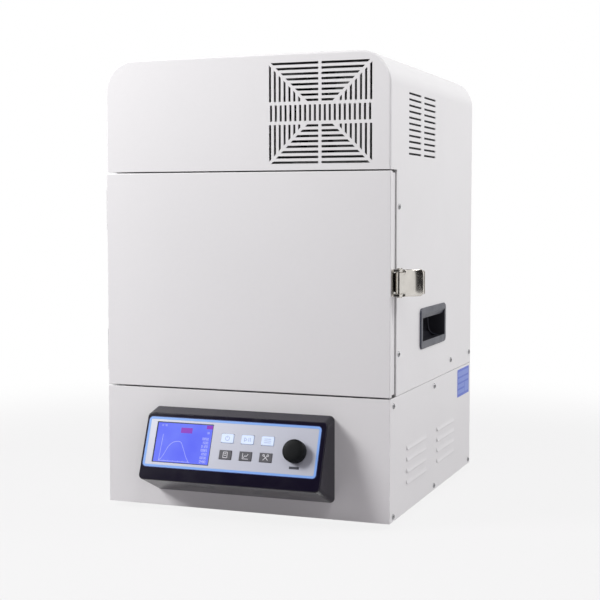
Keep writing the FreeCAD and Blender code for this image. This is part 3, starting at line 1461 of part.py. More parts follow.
base_floor_tray()
base_front_panel()
base_deck()
feet()
hood_wrap()
hood_front_panel()
front_frame()
rear_panel()
microwave_cavity()
cavity_supports()
insulation_box()
susceptor_plates()
hearth_plate()
thermocouple()
waveguide()
magnetrons()
power_inlet()
mains_switch_body()
mains_rocker()
exhaust_fan_frame()
fan_impeller()
door_outer_panel()
door_inner_pan()
door_insulation_board()
door_plug()
door_gasket()
hinges()
latch_base()
latch_pin()
latch_lever()
latch_magnet()
strike_plate()
pod_housing()
pod_faceplate()
lcd_window()
lcd_module()
key_board()
keys()
encoder_body()
encoder_shaft()
selector_knob()
cabinet_screws()
transformers()
capacitors()
control_board()
door_sensor()
for side_name, side in SIDES:
    base_side_panel(side_name, side)
    carry_handle(side_name, side)

doc.recompute()

bad_states = ("Invalid", "Error")
faults = [f"{thing.Label}: {thing.State}" for thing in doc.Objects if set(bad_states) & set(thing.State)]
for thing in doc.Objects:
    if thing.TypeId in ("PartDesign::Pocket", "PartDesign::SubtractiveLoft"):
        owner = thing.getParentGeoFeatureGroup().Label
        if thing.Shape.isNull() or thing.BaseFeature.Shape.isNull():
            faults.append(f"{thing.Label} in {owner} is empty")
        elif thing.Shape.Volume > thing.BaseFeature.Shape.Volume - 0.01:
            faults.append(f"{thing.Label} in {owner} cuts nothing")
for name, thing in nodes.items():
    if thing.Shape.isNull() or not thing.Shape.isValid():
        faults.append(f"{name} has no valid shape")
if faults:
    raise RuntimeError("; ".join(faults))

os.makedirs("parts", exist_ok=True)
for name, thing in nodes.items():
    thing.Shape.exportStep(f"parts/{name}.step")
print(f"{len(nodes)} sub-parts written")
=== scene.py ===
import json
import math

import bmesh
import bpy
from mathutils import Matrix, Vector


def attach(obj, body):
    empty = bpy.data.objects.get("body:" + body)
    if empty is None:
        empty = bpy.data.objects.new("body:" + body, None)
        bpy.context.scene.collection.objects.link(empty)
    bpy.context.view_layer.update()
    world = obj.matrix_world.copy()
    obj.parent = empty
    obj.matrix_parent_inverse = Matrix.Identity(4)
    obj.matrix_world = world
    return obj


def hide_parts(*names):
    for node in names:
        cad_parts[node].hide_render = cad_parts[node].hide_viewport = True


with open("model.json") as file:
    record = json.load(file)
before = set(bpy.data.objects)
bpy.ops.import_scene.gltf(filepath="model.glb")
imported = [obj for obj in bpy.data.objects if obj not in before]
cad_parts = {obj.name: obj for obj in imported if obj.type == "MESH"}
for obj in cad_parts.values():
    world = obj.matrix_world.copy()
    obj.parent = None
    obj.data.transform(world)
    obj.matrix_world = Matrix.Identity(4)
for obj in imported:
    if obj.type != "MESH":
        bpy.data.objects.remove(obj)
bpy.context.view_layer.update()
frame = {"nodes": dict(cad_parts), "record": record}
mm = 0.001

# Camera: a long lens a little above the door's middle, from the cabinet's front right corner.
# Its place and lens come from the cabinet's own edges in the photograph.
camera_place = (0.71715, -1.91397, 0.4362)
camera_down, camera_roll, camera_left = 0.069412, 0.0006, 0.36
camera_lens, sensor_width = 78.166, 36


def link(name, data):
    """A new object in the scene."""
    made = bpy.data.objects.new(name, data)
    bpy.context.scene.collection.objects.link(made)
    return made


camera_data = bpy.data.cameras.new("photo_camera")
camera_data.lens = camera_lens
camera_data.sensor_width = sensor_width
camera = link("photo_camera", camera_data)
camera.location = camera_place
camera.rotation_euler = (math.pi / 2 - camera_down, camera_roll, camera_left)
bpy.context.scene.camera = camera
bpy.context.scene.view_settings.view_transform = "Standard"

# Studio floor: pale paper that fades into the white backdrop. The camera and reflections see
# the white through it, so that only the soft shadow under the furnace stays.
floor_half = 6.0
floor_fade = (0.55, 1.5)
floor_colour = (0.36, 0.34, 0.36, 1)
floor_veil = 0.86


def add(tree, kind, inputs=(), **settings):
    """A shader node with its settings, its inputs set or linked."""
    made = tree.nodes.new("ShaderNode" + kind)
    for name, value in settings.items():
        setattr(made, name, value)
    for name, value in dict(inputs).items():
        if isinstance(value, bpy.types.NodeSocket):
            tree.links.new(value, made.inputs[name])
        else:
            made.inputs[name].default_value = value
    return made


def new_material(name):
    """An empty material and its node tree."""
    made = bpy.data.materials.new(name)
    made.use_nodes = True
    made.node_tree.nodes.clear()
    return made, made.node_tree


def looking(tree):
    """1 for the rays that look at the backdrop: camera, reflected and transmitted ones."""
    path = add(tree, "LightPath")
    direct = add(tree, "Math", {0: path.outputs["Is Camera Ray"],
                                1: path.outputs["Is Glossy Ray"]}, operation="MAXIMUM")
    every = add(tree, "Math", {0: direct.outputs["Value"],
                               1: path.outputs["Is Transmission Ray"]}, operation="MAXIMUM")
    return every.outputs["Value"]


def studio_sheet(name, place, width, height, material):
    """A flat sheet of the studio, in metres."""
    mesh = bpy.data.meshes.new(name)
    bm = bmesh.new()
    bmesh.ops.create_grid(bm, x_segments=2, y_segments=2, size=0.5)
    bmesh.ops.transform(bm, verts=bm.verts[:],
                        matrix=place @ Matrix.Diagonal((width, height, 1, 1)))
    bm.to_mesh(mesh)
    bm.free()
    mesh.materials.append(material)
    link(name, mesh)


studio_paper, tree = new_material("studio_paper")
coords = add(tree, "TexCoord")
distance = add(tree, "VectorMath", {0: coords.outputs["Object"]}, operation="LENGTH")
fade = add(tree, "MapRange", {"Value": distance.outputs["Value"], "From Min": floor_fade[0],
                              "From Max": floor_fade[1]}, interpolation_type="SMOOTHERSTEP")
paper = add(tree, "BsdfDiffuse", {"Color": floor_colour})
clear = add(tree, "BsdfTransparent")
faded = add(tree, "MixShader", {
    0: fade.outputs["Result"], 1: paper.outputs["BSDF"], 2: clear.outputs["BSDF"]})
thin = add(tree, "Math", {0: looking(tree), 1: floor_veil}, operation="MULTIPLY")
veil = add(tree, "MixShader", {
    0: thin.outputs["Value"], 1: faded.outputs["Shader"], 2: clear.outputs["BSDF"]})
add(tree, "OutputMaterial", {"Surface": veil.outputs["Shader"]})
studio_sheet("studio_floor", Matrix.Identity(4), 2 * floor_half, 2 * floor_half, studio_paper)

# Backdrop: white to the camera and in reflections. What lights the furnace is a studio
# that is brighter at the sides and behind it than above and underfoot.
ambient_stops = ((0.0, 0.5), (0.13, 0.45), (0.18, 0.1), (0.28, 0.06), (0.31, 0.7), (0.83, 0.8),
                 (1.0, 0.5))
ambient_colour = (1.0, 0.965, 1.0, 1)
overhead_from, overhead_level = (0.55, 0.85), 0.06
underfoot_from, underfoot_level = (-0.4, 0.05), 0.25
world = bpy.data.worlds.new("studio")
world.use_nodes = True
tree = world.node_tree
tree.nodes.clear()
coords = add(tree, "TexCoord")
axes = add(tree, "SeparateXYZ", {"Vector": coords.outputs["Generated"]})
azimuth = add(tree, "Math", {0: axes.outputs["Y"], 1: axes.outputs["X"]}, operation="ARCTAN2")
turn = add(tree, "MapRange", {"Value": azimuth.outputs["Value"], "From Min": -math.pi,
                              "From Max": math.pi})
around = add(tree, "ValToRGB", {"Fac": turn.outputs["Result"]})
ramp = around.color_ramp
ramp.elements.remove(ramp.elements[0])
for number, (stop, level) in enumerate(ambient_stops):
    mark = ramp.elements[0] if number == 0 else ramp.elements.new(stop)
    mark.position, mark.color = stop, (level, level, level, 1)
overhead = add(tree, "MapRange", {"Value": axes.outputs["Z"], "From Min": overhead_from[0],
                                  "From Max": overhead_from[1]})
lifted = add(tree, "Mix", {"Factor": overhead.outputs["Result"], "A": around.outputs["Color"],
                           "B": overhead_level})
underfoot = add(tree, "MapRange", {"Value": axes.outputs["Z"], "From Min": underfoot_from[0],
                                   "From Max": underfoot_from[1], "To Min": underfoot_level})
level = add(tree, "Math", {0: lifted.outputs["Result"], 1: underfoot.outputs["Result"]},
            operation="MULTIPLY")
ambient = add(tree, "Background", {"Color": ambient_colour, "Strength": level.outputs["Value"]})
white = add(tree, "Background", {"Color": (1, 1, 1, 1), "Strength": 1.0})
backdrop = add(tree, "MixShader", {
    0: looking(tree), 1: ambient.outputs["Background"], 2: white.outputs["Background"]})
add(tree, "OutputWorld", {"Surface": backdrop.outputs["Shader"]})
bpy.context.scene.world = world

# Dark boards stand around the set, beyond the lamps, so that black and chromed parts keep
# their depth: one behind the camera, one at the right and one over the roof.
boards = {"board_front": ((-0.35, -3.6, 1.4), 3.2, 4.8),
          "board_right": ((3.35, 1.0, 0.95), 3.1, 2.8),
          "board_above": ((0.0, 0.2, 3.6), 3.2, 3.2)}
boards_aim = Vector((0, 0, 0.3))
cloth_dark, cloth_pale = (0.006, 0.006, 0.007, 1), (0.016, 0.016, 0.018, 1)
board_cloth, tree = new_material("board_cloth")
weave = add(tree, "TexNoise", {"Scale": 40.0, "Detail": 2.0})
cloth_colour = add(tree, "Mix", {"Factor": weave.outputs["Fac"], 6: cloth_dark, 7: cloth_pale},
                   data_type="RGBA")
cloth = add(tree, "BsdfDiffuse", {"Color": cloth_colour.outputs[2]})
clear = add(tree, "BsdfTransparent")
path = add(tree, "LightPath")
unseen = add(tree, "MixShader", {
    0: path.outputs["Is Camera Ray"], 1: cloth.outputs["BSDF"], 2: clear.outputs["BSDF"]})
add(tree, "OutputMaterial", {"Surface": unseen.outputs["Shader"]})
for name, (place, width, height) in boards.items():
    facing = (boards_aim - Vector(place)).to_track_quat("Z", "Y").to_matrix().to_4x4()
    studio_sheet(name, Matrix.Translation(place) @ facing, width, height, board_cloth)

# Soft boxes: the key stands high on the left, one lights the vented wall, and two small weak
# ones lift the hood and the roof a little.
lamps = {"key_box": ((-1.4, -1.25, 1.45), 0.8, 40.5), "hood_box": ((0.45, -1.0, 1.1), 0.3, 2),
         "side_box": ((1.8, 0.35, 1.85), 0.8, 26), "top_box": ((-0.65, -0.76, 2.0), 0.25, 1)}
lamps_aim = Vector((0, 0, 0.4))
for name, (place, size, power) in lamps.items():
    light = bpy.data.lights.new(name, "AREA")
    light.shape = "SQUARE"
    light.size = size
    light.energy = power
    lamp = link(name, light)
    lamp.location = place
    lamp.rotation_euler = (lamps_aim - Vector(place)).to_track_quat("-Z", "Y").to_euler()

# Feet: four turned feet of black rubber under the corners of the base. Each is screwed
# through the floor tray and keeps the sheet off the bench.
fine_scale, fine_share = 3.1, 0.35
speck_scale, speck_share = 34.0, 0.4
cloud_middle, roughness_swing = 0.7, 1.6
weld, flat_angle, round_from = 1e-6, 0.4, 25


def srgb(red, green, blue):
    """A colour as a screen shows it, 0 to 255, in the shader's own scale."""
    channels = [c / 255 for c in (red, green, blue)]
    return [c / 12.92 if c <= 0.04045 else ((c + 0.055) / 1.055) ** 2.4 for c in channels] + [1]


def effect(name, inputs, outputs):
    """An empty node group with named sockets."""
    made = bpy.data.node_groups.new(name, "ShaderNodeTree")
    for label, kind, value in inputs:
        socket = made.interface.new_socket(label, in_out="INPUT",
                                           socket_type="NodeSocket" + kind)
        socket.default_value = value
    for label, kind in outputs:
        made.interface.new_socket(label, in_out="OUTPUT", socket_type="NodeSocket" + kind)
    entry = made.nodes.new("NodeGroupInput")
    return made, entry.outputs, made.nodes.new("NodeGroupOutput").inputs


def placed(tree, group, inputs):
    """The outputs of a node group that is set into a material with its own values."""
    made = tree.nodes.new("ShaderNodeGroup")
    made.node_tree = group
    for name, value in inputs.items():
        if isinstance(value, bpy.types.NodeSocket):
            tree.links.new(value, made.inputs[name])
        else:
            made.inputs[name].default_value = value
    return made.outputs


# Grain is the fine unevenness of a surface.
grain, given, result = effect(
    "grain", (("Scale", "Float", 900.0), ("Stretch", "Vector", (1.0, 1.0, 1.0))),
    (("Height", "Float"),))
coords = add(grain, "TexCoord")
drawn = add(grain, "VectorMath", {0: coords.outputs["Object"], 1: given["Stretch"]},
            operation="MULTIPLY")
coarse = add(grain, "TexNoise", {"Vector": drawn.outputs["Vector"], "Scale": given["Scale"],
                                 "Detail": 3.0, "Roughness": 0.55})
finer = add(grain, "Math", {0: given["Scale"], 1: fine_scale}, operation="MULTIPLY")
fine = add(grain, "TexNoise", {"Vector": drawn.outputs["Vector"],
                               "Scale": finer.outputs["Value"], "Detail": 2.0})
both = add(grain, "Math", {0: fine.outputs["Fac"], 1: fine_share, 2: coarse.outputs["Fac"]},
           operation="MULTIPLY_ADD")
grain.links.new(both.outputs["Value"], result["Height"])

# Handling is the faint cloudiness that touch and dust leave on a surface.
handling, given, result = effect(
    "handling", (("Colour", "Color", (0.5, 0.5, 0.5, 1)), ("Roughness", "Float", 0.4),
                 ("Amount", "Float", 0.1), ("Scale", "Float", 9.0)),
    (("Colour", "Color"), ("Roughness", "Float")))
coords = add(handling, "TexCoord")
cloud = add(handling, "TexNoise", {"Vector": coords.outputs["Object"], "Scale": given["Scale"],
                                   "Detail": 5.0, "Roughness": 0.6, "Distortion": 0.6})
smaller = add(handling, "Math", {0: given["Scale"], 1: speck_scale}, operation="MULTIPLY")
speck = add(handling, "TexNoise", {"Vector": coords.outputs["Object"],
                                   "Scale": smaller.outputs["Value"], "Detail": 2.0})
both = add(handling, "Math", {0: speck.outputs["Fac"], 1: speck_share, 2: cloud.outputs["Fac"]},
           operation="MULTIPLY_ADD")
signed = add(handling, "Math", {0: both.outputs["Value"], 1: -cloud_middle}, operation="ADD")
swing = add(handling, "Math", {0: signed.outputs["Value"], 1: given["Amount"]},
            operation="MULTIPLY")
gain = add(handling, "Math", {0: 1.0, 1: swing.outputs["Value"]}, operation="SUBTRACT")
shade = add(handling, "VectorMath", {0: given["Colour"], "Scale": gain.outputs["Value"]},
            operation="SCALE")
rough = add(handling, "Math", {0: swing.outputs["Value"], 1: roughness_swing,
                               2: given["Roughness"]}, operation="MULTIPLY_ADD", use_clamp=True)
handling.links.new(shade.outputs["Vector"], result["Colour"])
handling.links.new(rough.outputs["Value"], result["Roughness"])


def finish(name, colour, roughness, scale=900.0, depth=0.02, amount=0.1, clouds=9.0,
           stretch=(1, 1, 1), **fixed):
    """A material: colour and roughness vary by handling, and the grain gives its bump."""
    made, tree = new_material(name)
    look = placed(tree, handling, {"Colour": colour, "Roughness": roughness,
                                   "Amount": amount, "Scale": clouds})
    height = placed(tree, grain, {"Scale": scale, "Stretch": stretch})
    bump = add(tree, "Bump", {"Height": height["Height"], "Strength": 1.0,
                              "Distance": depth * mm})
    shader = add(tree, "BsdfPrincipled", {
        "Base Color": look["Colour"], "Roughness": look["Roughness"],
        "Normal": bump.outputs["Normal"]})
    for socket, value in fixed.items():
        shader.inputs[socket.replace("_", " ")].default_value = value
    add(tree, "OutputMaterial", {"Surface": shader.outputs["BSDF"]})
    return made


def show(name, bm, body, material, smooth=30, replaces=(), weighted=True):
    """Makes bm a finished piece that rides on a body."""
    mesh = bpy.data.meshes.new(name)
    bm.to_mesh(mesh)
    bm.free()
    mesh.materials.append(material)
    for face in mesh.polygons:
        face.use_smooth = True
    mesh.set_sharp_from_angle(angle=math.radians(smooth))
    piece = link(name, mesh)
    if weighted:
        even = piece.modifiers.new("even_normals", "WEIGHTED_NORMAL")
        even.keep_sharp = True
    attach(piece, body)
    if replaces:
        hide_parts(*replaces)
    return piece


riders = {node: body for body, nodes in frame["record"]["behaviour"]["bodies"].items()
          for node in nodes}


def merged(node):
    """A welded copy of a CAD node, flat faces made whole."""
    bm = bmesh.new()
    bm.from_mesh(frame["nodes"][node].data)
    bmesh.ops.remove_doubles(bm, verts=bm.verts, dist=weld)
    bmesh.ops.dissolve_limit(bm, angle_limit=math.radians(flat_angle), verts=bm.verts,
                             edges=bm.edges)
    return bm


def soften(bm, edge, steps=2):
    """Rounds the edges between faces that clearly turn."""
    sharp = [e for e in bm.edges if len(e.link_faces) == 2
             and e.calc_face_angle(0) > math.radians(round_from)]
    bmesh.ops.bevel(bm, geom=sharp, offset=edge * mm, segments=steps, profile=0.5,
                    affect="EDGES", clamp_overlap=True, material=-1)


def dress(node, material, edge=0.0, steps=2, smooth=30):
    """A CAD node as a finished piece of its own, with softened edges."""
    bm = merged(node)
    if edge:
        soften(bm, edge, steps)
    show(node + "_finished", bm, riders[node], material, smooth, (node,))


foot_rubber = finish("foot_rubber", srgb(38, 38, 40), roughness=0.75, scale=1500, depth=0.05,
                     amount=0.3, clouds=40)
dress("feet", foot_rubber, edge=0.6)

# Floor tray and deck: folded zinc-coated sheet. The tray carries the power supply, and the
# deck closes the base above it and carries the furnace chamber.
zinc, tree = new_material("zinc_sheet")
coords = add(tree, "TexCoord")
spangle = add(tree, "TexVoronoi", {"Vector": coords.outputs["Object"], "Scale": 160.0})
tone = add(tree, "MapRange", {"Value": spangle.outputs["Distance"], "From Max": 0.9,
                              "To Min": 0.52, "To Max": 0.66})
cell = add(tree, "SeparateColor", {"Color": spangle.outputs["Color"]})
shine = add(tree, "MapRange", {"Value": cell.outputs["Red"], "To Min": 0.3, "To Max": 0.5})
colour = add(tree, "CombineColor", {channel: tone.outputs["Result"]
                                    for channel in ("Red", "Green", "Blue")})
look = placed(tree, handling, {"Colour": colour.outputs["Color"], "Amount": 0.12,
                               "Roughness": shine.outputs["Result"], "Scale": 12.0})
height = placed(tree, grain, {"Scale": 500.0})
bump = add(tree, "Bump", {"Height": height["Height"], "Distance": 0.01 * mm})
shader = add(tree, "BsdfPrincipled", {
    "Base Color": look["Colour"], "Roughness": look["Roughness"],
    "Normal": bump.outputs["Normal"], "Metallic": 1.0})
add(tree, "OutputMaterial", {"Surface": shader.outputs["BSDF"]})
dress("base_floor_tray", zinc, edge=0.3)
dress("base_deck", zinc, edge=0.2)

# Power supply: transformers with stacked iron cores, capacitors in drawn aluminium cans
# and a control board, all fixed in the base.
iron = finish("laminated_iron", srgb(78, 76, 74), roughness=0.5, scale=260, depth=0.2,
              amount=0.25, stretch=(0.02, 1.0, 1.0), Metallic=0.8)
dress("transformers", iron, edge=0.8)
can_aluminium = finish("can_aluminium", srgb(190, 192, 196), roughness=0.32, scale=600,
                       depth=0.01, stretch=(0.1, 0.1, 1.0), amount=0.14, Metallic=1.0)
dress("capacitors", can_aluminium, edge=0.4)
board_green = finish("board_green", srgb(28, 84, 52), roughness=0.35, scale=400, depth=0.02,
                     amount=0.3, clouds=60)
dress("control_board", board_green)

# Base panels: white enamelled sheet, folded at the edges and screwed on. The side ones have
# two columns of pressed louvres.
enamel = finish("white_enamel", srgb(236, 235, 236), roughness=0.36, scale=420, depth=0.012,
                amount=0.05, clouds=5.0, Coat_Weight=0.35, Coat_Roughness=0.12,
                Specular_IOR_Level=0.5)
dress("base_front_panel", enamel, edge=0.5)
dress("base_side_panel_right", enamel, edge=0.4)
dress("base_side_panel_left", enamel, edge=0.4)

# Furnace chamber: a stainless cavity of bent sheet on two rails, lined with fibre board. In it
# are two silicon carbide plates that take up the microwaves, and a ceramic hearth.
stainless = finish("stainless_sheet", srgb(196, 196, 198), roughness=0.28, scale=320,
                   depth=0.02, stretch=(0.05, 1.0, 1.0), amount=0.16, Metallic=1.0)
fibre = finish("fibre_board", srgb(238, 233, 220), roughness=0.95, scale=380, depth=0.5,
               amount=0.14, clouds=26)
carbide = finish("silicon_carbide", srgb(62, 64, 70), roughness=0.55, scale=1300, depth=0.12,
                 amount=0.4, clouds=70)
alumina = finish("alumina", srgb(233, 228, 214), roughness=0.7, scale=900, depth=0.06,
                 amount=0.12, clouds=30)
dress("cavity_supports", zinc, edge=0.2)
dress("microwave_cavity", stainless, edge=0.3)
dress("insulation_box", fibre, edge=0.8)
dress("susceptor_plates", carbide, edge=0.6)
dress("hearth_plate", alumina, edge=0.5)

# Thermocouple: a thin sheathed probe under a steel head. It is let in through the cavity's
# roof, and its tip hangs over the hearth.
sensor_steel = finish("sensor_steel", srgb(172, 172, 174), roughness=0.3, scale=700,
                      depth=0.01, amount=0.2, Metallic=1.0)
dress("thermocouple", sensor_steel)

# Waveguide and magnetrons: a channel of aluminium sheet on the cavity's roof, and the two
# magnetrons that stand on it and feed the cavity from above.
guide_aluminium = finish("guide_aluminium", srgb(188, 190, 192), roughness=0.36, scale=500,
                         depth=0.02, stretch=(0.08, 1.0, 1.0), amount=0.16, Metallic=1.0)
dress("waveguide", guide_aluminium, edge=0.4)
dress("magnetrons", guide_aluminium)

# Cabinet: one wrap of enamelled sheet over both sides and the roof, on a folded front frame
# of zinc-coated sheet. The hood front above the door is a soft-edged pan with the grille.
dress("front_frame", zinc, edge=0.2)
dress("hood_wrap", enamel, edge=0.25)
dress("hood_front_panel", enamel, edge=0.25)

# Exhaust fan: a frame and a seven-bladed wheel, both moulded in black plastic. The frame is
# fixed behind the grille.
fan_plastic = finish("fan_plastic", srgb(34, 34, 36), roughness=0.42, scale=1100, depth=0.03,
                     amount=0.3, clouds=40)
dress("exhaust_fan_frame", fan_plastic, edge=0.4)
dress("fan_impeller", fan_plastic)

# Rear panel: enamelled sheet with vents near its top. It is let in between the wrap's edges
# and screwed down along both sides.
dress("rear_panel", enamel, edge=0.25)

# Dust filters: sheets of open black foam behind the side and rear vents, clipped to the
# cabinet's sheet from inside. Low and high corners are in millimetres.
filters = {"side_filter_right": ((210.4, -156, 505), (213.4, 6, 607)),
           "side_filter_left": ((-213.4, -156, 505), (-210.4, 6, 607)),
           "rear_filter": ((-109, 230.4, 520), (109, 233.4, 609))}
filter_edge = 1.0


def at(*point):
    """The place of a point in millimetres."""
    return Matrix.Translation(Vector(point) * mm)


def block(bm, place, size):
    """A box about a place, its size in millimetres."""
    bmesh.ops.create_cube(bm, size=1.0, matrix=place @ Matrix.Diagonal((*(Vector(size) * mm), 1)))


filter_foam = finish("filter_foam", srgb(30, 30, 32), roughness=0.95, scale=420, depth=0.9,
                     amount=0.4, clouds=80)
for name, (low, high) in filters.items():
    foam = bmesh.new()
    block(foam, at(*(Vector(low) + Vector(high)) / 2), Vector(high) - Vector(low))
    soften(foam, filter_edge)
    show(name, foam, "cabinet", filter_foam)

# Mains inlet and switch: a socket and a rocker switch, both moulded in black plastic. They
# are set into cut-outs near the rear panel's foot.
black_socket = finish("black_socket", srgb(30, 30, 32), roughness=0.4, scale=1300, depth=0.03,
                      amount=0.3, clouds=60)
dress("power_inlet", black_socket, edge=0.4)
dress("mains_switch_body", black_socket, edge=0.3)
rocker_plastic = finish("rocker_plastic", srgb(22, 22, 24), roughness=0.22, scale=900,
                        depth=0.01, amount=0.2, clouds=60)
dress("mains_rocker", rocker_plastic, edge=0.3)

# Hinges: leaves rolled from steel sheet, two on the cabinet's and two on the door's left
# edge, with a loose pin through each pair.
hinge_steel = finish("hinge_steel", srgb(176, 176, 178), roughness=0.34, scale=800, depth=0.02,
                     amount=0.24, clouds=40, Metallic=1.0)
dress("hinge_leaves_cabinet", hinge_steel, edge=0.2)
dress("hinge_leaves_door", hinge_steel, edge=0.2)
dress("hinge_pins", hinge_steel, edge=0.3)

# Door: an enamelled outer pan and inner pan with a fibre board between them. A tapered fibre
# plug closes the chamber's mouth, and a rubber gasket runs round it.
dress("door_outer_panel", enamel, edge=0.4)
dress("door_inner_pan", enamel, edge=0.3)
dress("door_insulation_board", fibre)
dress("door_plug", fibre, edge=0.8)
gasket_rubber = finish("gasket_rubber", srgb(176, 172, 166), roughness=0.6, scale=900,
                       depth=0.1, amount=0.2, clouds=40)
dress("door_gasket", gasket_rubber, edge=0.4)
dress("door_sensor", black_socket, edge=0.6)

# Latch: a chromed base on the door's edge, a paddle on a pin, and a magnet that meets a strike
# on the cabinet. The paddle is a crowned casting, swept round a bend, with a rolled free end.
bend_centre, bend_radius = (215.0, -191.0), 37.9
bend_start, bend_end = math.radians(-73.8), math.radians(-11.8)
bend_steps, section_steps = 16, 7
paddle_low, paddle_high = 318.5, 355.5
paddle_middle, paddle_half = (paddle_low + paddle_high) / 2, (paddle_high - paddle_low) / 2
paddle_wall, paddle_crown, paddle_round, paddle_corner = 4.0, 1.1, 1.5, 5.5
ear_length, ear_room, ear_step = 7.9, 3.9, 0.3
pin_at, bore_radius, hub_radius, hub_chamfer = (224.0, -222.0), 2.7, 5.7, 0.5
bead_radius, bead_short, turning_steps = 2.9, 3.5, 36
bead_end = ((0, 0.5), (0.7, 0.35), (1, 0))


def paddle_section(half):
    """Radius and height points round the paddle's section, whose half height is given."""
    across = [2 * step / section_steps - 1 for step in range(section_steps + 1)]
    outer = [bend_radius - paddle_crown * (half * part / paddle_half) ** 2 for part in across]
    heights = [half * part for part in across]
    heights[0] += paddle_round
    heights[-1] -= paddle_round
    points = list(zip(outer, heights))
    for side, face in ((1, outer[-1]), (-1, outer[0])):
        lap = [(face - paddle_round * (1 - math.cos(turn)),
                side * (half - paddle_round * (1 - math.sin(turn))))
               for turn in (math.radians(a) for a in (30, 60, 90))]
        lap.append((bend_radius - paddle_wall, side * half))
        points = points + lap[::side]
    return points


def turned(bm, profile, steps, foot=Vector((0, 0, 0))):
    """Spins radius and height points, in millimetres, round the axis that stands on foot."""
    rim = [bm.verts.new(foot + Vector((r, 0, z)) * mm) for r, z in profile]
    edges = [bm.edges.new(pair) for pair in zip(rim, rim[1:])]
    bmesh.ops.spin(bm, geom=rim + edges, cent=foot, axis=(0, 0, 1), angle=math.tau,
                   steps=steps, use_merge=True)


def closed(bm):
    """Welds the seams and poles of turned shapes and turns their faces outwards."""
    bmesh.ops.remove_doubles(bm, verts=bm.verts[:], dist=weld)
    bmesh.ops.recalc_face_normals(bm, faces=bm.faces[:])


def round_bend(radius, turn, height):
    """A point beside the paddle's bend, in millimetres."""
    return Vector((bend_centre[0] + radius * math.cos(turn),
                   bend_centre[1] + radius * math.sin(turn), height))


chrome = finish("latch_chrome", srgb(208, 204, 198), roughness=0.2, scale=500, depth=0.01,
                amount=0.25, clouds=55, Metallic=1.0)
dress("latch_base", chrome, edge=0.7, steps=3)
dress("latch_pin", chrome, edge=0.4)
dress("latch_magnet", iron, edge=0.4)
dress("strike_plate", zinc, edge=0.3)
paddle = bmesh.new()
corner_from = bend_radius * (bend_end - bend_start) - paddle_corner
stations = [0, 4, ear_length - ear_step, ear_length]
stations += [ear_length + (corner_from - ear_length) * step / bend_steps
             for step in range(1, bend_steps + 1)]
stations += [corner_from + paddle_corner * math.sin(math.radians(a)) for a in range(15, 91, 15)]
rings = []
for along in stations:
    half = paddle_half - (ear_room if along < ear_length else 0)
    past = along - corner_from
    if past > 0:
        half -= paddle_corner - math.sqrt(max(paddle_corner ** 2 - past ** 2, 0))
    rings.append([paddle.verts.new(round_bend(radius, bend_start + along / bend_radius,
                                              paddle_middle + height) * mm)
                  for radius, height in paddle_section(half)])
for near, far in zip(rings, rings[1:]):
    for corners in zip(near, near[1:] + near[:1], far[1:] + far[:1], far):
        paddle.faces.new(corners)
for end in (rings[0], rings[-1]):
    paddle.faces.new(end)
bead_half, hub_half = paddle_half - bead_short, paddle_half - ear_room
bead_top = [(bead_radius * r, bead_half + bead_radius * z) for r, z in bead_end]
bead_profile = [(r, -z) for r, z in bead_top] + bead_top[::-1]
turned(paddle, bead_profile, turning_steps,
       round_bend(bend_radius - paddle_wall / 2, bend_end, paddle_middle) * mm)
hub_side = [(bore_radius, hub_half), (hub_radius - hub_chamfer, hub_half),
            (hub_radius, hub_half - hub_chamfer)]
hub_profile = [(r, -z) for r, z in hub_side] + hub_side[::-1] + [(bore_radius, -hub_half)]
turned(paddle, hub_profile, turning_steps, Vector((*pin_at, paddle_middle)) * mm)
closed(paddle)
show("latch_paddle", paddle, "latch", chrome, smooth=40,
     replaces=("latch_lever",), weighted=False)

# Carrying handles: grey moulded cups let into the cabinet's sides. The upper lip slants out
# to the rim, and a moulded rib curves round the cup's far end. The cup's places are in metres.
cup_roof, cup_floor, same_height = 0.2715, 0.2405, 1e-4
mouth_from, mouth_outer, rim_from = 0.2, 0.204, 0.216
lip_front, lip_back, lip_low, sill = 0.2134, 0.2110, 0.2762, 0.2435
face_from, wall_depth = 0.2135, 0.018
rib_path = [(190.7, 49.8, 268), (190.8, 49.8, 256), (193.5, 49.8, 247), (200, 49.8, 242.6),
            (211, 49.8, 241.4)]
rib_radius = 0.9


def tube(name, runs, radius, place):
    """Round rods along smooth paths, in millimetres of the given place."""
    drawn = bpy.data.curves.new(name, "CURVE")
    drawn.dimensions = "3D"
    drawn.bevel_depth = radius * mm
    drawn.bevel_resolution = 2
    drawn.resolution_u = 12
    drawn.use_fill_caps = True
    for run in runs:
        spline = drawn.splines.new("NURBS")
        spline.points.add(len(run) - 1)
        for point, (x, y, z) in zip(spline.points, run):
            point.co = (x * mm, y * mm, z * mm, 1)
        spline.order_u = 3
        spline.use_endpoint_u = True
    rods = link(name, drawn)
    bpy.context.view_layer.update()
    bm = bmesh.new()
    bm.from_mesh(rods.to_mesh())
    rods.to_mesh_clear()
    bpy.data.objects.remove(rods)
    bmesh.ops.transform(bm, matrix=place, verts=bm.verts)
    return bm


